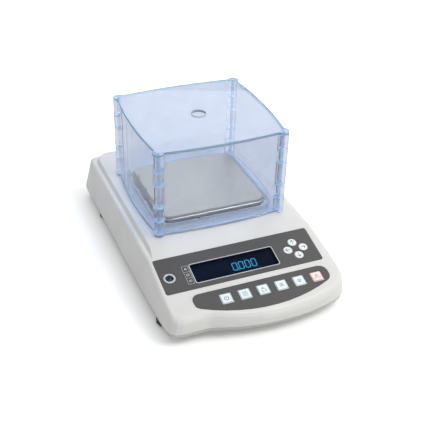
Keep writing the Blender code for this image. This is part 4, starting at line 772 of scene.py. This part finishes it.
def make_plate_shade_skirt():
    """A black ring wall that shows below the weighing plate's steel rim: painted shade that stands in for
    the shadow beneath the plate.
    """
    low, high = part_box("weighing_plate")
    bm = bmesh.new()
    rings = []
    for wall, z in ((0, SHADE_SKIRT_FOOT + SHADE_SKIRT_EDGE), (SHADE_SKIRT_EDGE, SHADE_SKIRT_FOOT), (SHADE_SKIRT_WALL, SHADE_SKIRT_FOOT),
                    (SHADE_SKIRT_WALL, SHADE_SKIRT_HEAD), (0, SHADE_SKIRT_HEAD)):
        outline = rounded(*grown(low.xy, high.xy, -SHADE_SKIRT_INSET - wall), SHADE_SKIRT_CORNER - wall)
        rings.append([bm.verts.new((x, y, z)) for x, y in outline])
    close_rings(bm, rings)
    # Painted shade: the black foot material darkens the gap below the plate's rim
    piece("plate_shade_skirt", bm, MATERIALS["foot_black"], "plate")


def make_floor():
    """A wide pale floor that shows white away from the shadow and darkens close to what stands on it."""
    bm = bmesh.new()
    bmesh.ops.create_grid(bm, x_segments=1, y_segments=1, size=FLOOR_HALF)
    mesh = bpy.data.meshes.new("floor")
    bm.to_mesh(mesh)
    bm.free()
    material, tree, shader = new_material("floor_paper")
    grain = noise(tree, position(tree), scale=300, detail=3)
    tree.links.new(ramp(tree, grain, *(grey(value) for value in FLOOR_GREYS)), shader.inputs["Base Color"])
    # Painted shadow: the glow drops to a share of itself where ambient occlusion finds something close to
    # the floor
    near = tree.nodes.new("ShaderNodeAmbientOcclusion")
    near.samples = SHADOW_SAMPLES
    near.inputs["Distance"].default_value = SHADOW_REACH
    tree.links.new(ramp(tree, near.outputs["AO"], grey(SHADOW_GLOW_SHARE), grey(1), low=0.0, high=1.0),
                   shader.inputs["Emission Color"])
    shader.inputs["Roughness"].default_value = FLOOR_ROUGHNESS
    shader.inputs["Specular IOR Level"].default_value = FLOOR_SPECULAR
    path = tree.nodes.new("ShaderNodeLightPath")
    glow = spread(tree, path.outputs["Is Camera Ray"], 0.0, FLOOR_GLOW)
    tree.links.new(glow, shader.inputs["Emission Strength"])
    mesh.materials.append(material)
    obj = bpy.data.objects.new("floor", mesh)
    bpy.context.scene.collection.objects.link(obj)


def make_world():
    """Even pale light from all round, and plain white where the camera or glass looks past the floor."""
    world = bpy.data.worlds.new("studio")
    bpy.context.scene.world = world
    world.use_nodes = True
    tree = world.node_tree
    background = tree.nodes["Background"]
    background.inputs["Color"].default_value = WORLD_COLOUR
    path = tree.nodes.new("ShaderNodeLightPath")
    shown = path.outputs["Is Camera Ray"]
    for kind in ("Is Transmission Ray", "Is Glossy Ray"):
        most = tree.nodes.new("ShaderNodeMath")
        most.operation = "MAXIMUM"
        tree.links.new(shown, most.inputs[0])
        tree.links.new(path.outputs[kind], most.inputs[1])
        shown = most.outputs["Value"]
    tree.links.new(spread(tree, shown, WORLD_LIGHT, WORLD_SHOWN), background.inputs["Strength"])


def make_lamp(name, place, power, colour):
    """A square soft lamp at place, aimed at the object."""
    data = bpy.data.lights.new(name, "AREA")
    data.shape = "SQUARE"
    data.size = LAMP_SIZE
    data.energy = power
    data.color = colour
    lamp = bpy.data.objects.new(name, data)
    lamp.location = place
    lamp.rotation_euler = (Vector(place) - LAMP_TARGET).to_track_quat("Z", "Y").to_euler()
    bpy.context.scene.collection.objects.link(lamp)


def make_camera():
    """The photograph's camera, placed from its azimuth, height, roll and distance."""
    a, e, r = CAMERA_AZIMUTH, CAMERA_ELEVATION, CAMERA_ROLL
    back = Vector((math.sin(a) * math.cos(e), -math.cos(a) * math.cos(e), math.sin(e)))
    level = Vector((math.cos(a), math.sin(a), 0))
    above = back.cross(level)
    right = level * math.cos(r) + above * math.sin(r)
    up = above * math.cos(r) - level * math.sin(r)
    place = back * CAMERA_DISTANCE + right * CAMERA_RIGHT + up * CAMERA_DOWN + LOOK_AT
    data = bpy.data.cameras.new("photo_camera")
    data.sensor_width = SENSOR
    data.lens = FOCAL_PIXELS / IMAGE_SIZE * SENSOR
    camera = bpy.data.objects.new("photo_camera", data)
    camera.matrix_world = (Matrix.Translation(place)
                           @ Matrix((right, up, back)).transposed().to_4x4())
    bpy.context.scene.collection.objects.link(camera)
    bpy.context.scene.camera = camera


dress_nodes()
make_window_line()
make_display_signs()
make_sign_column()
make_arrow_signs()
make_key_signs()
make_level_bubble()
make_plate_shade_skirt()
make_floor()
make_world()
make_lamp("key_lamp", **KEY_LAMP)
make_lamp("back_lamp", **BACK_LAMP)
make_camera()
bpy.context.scene.view_settings.view_transform = "Standard"
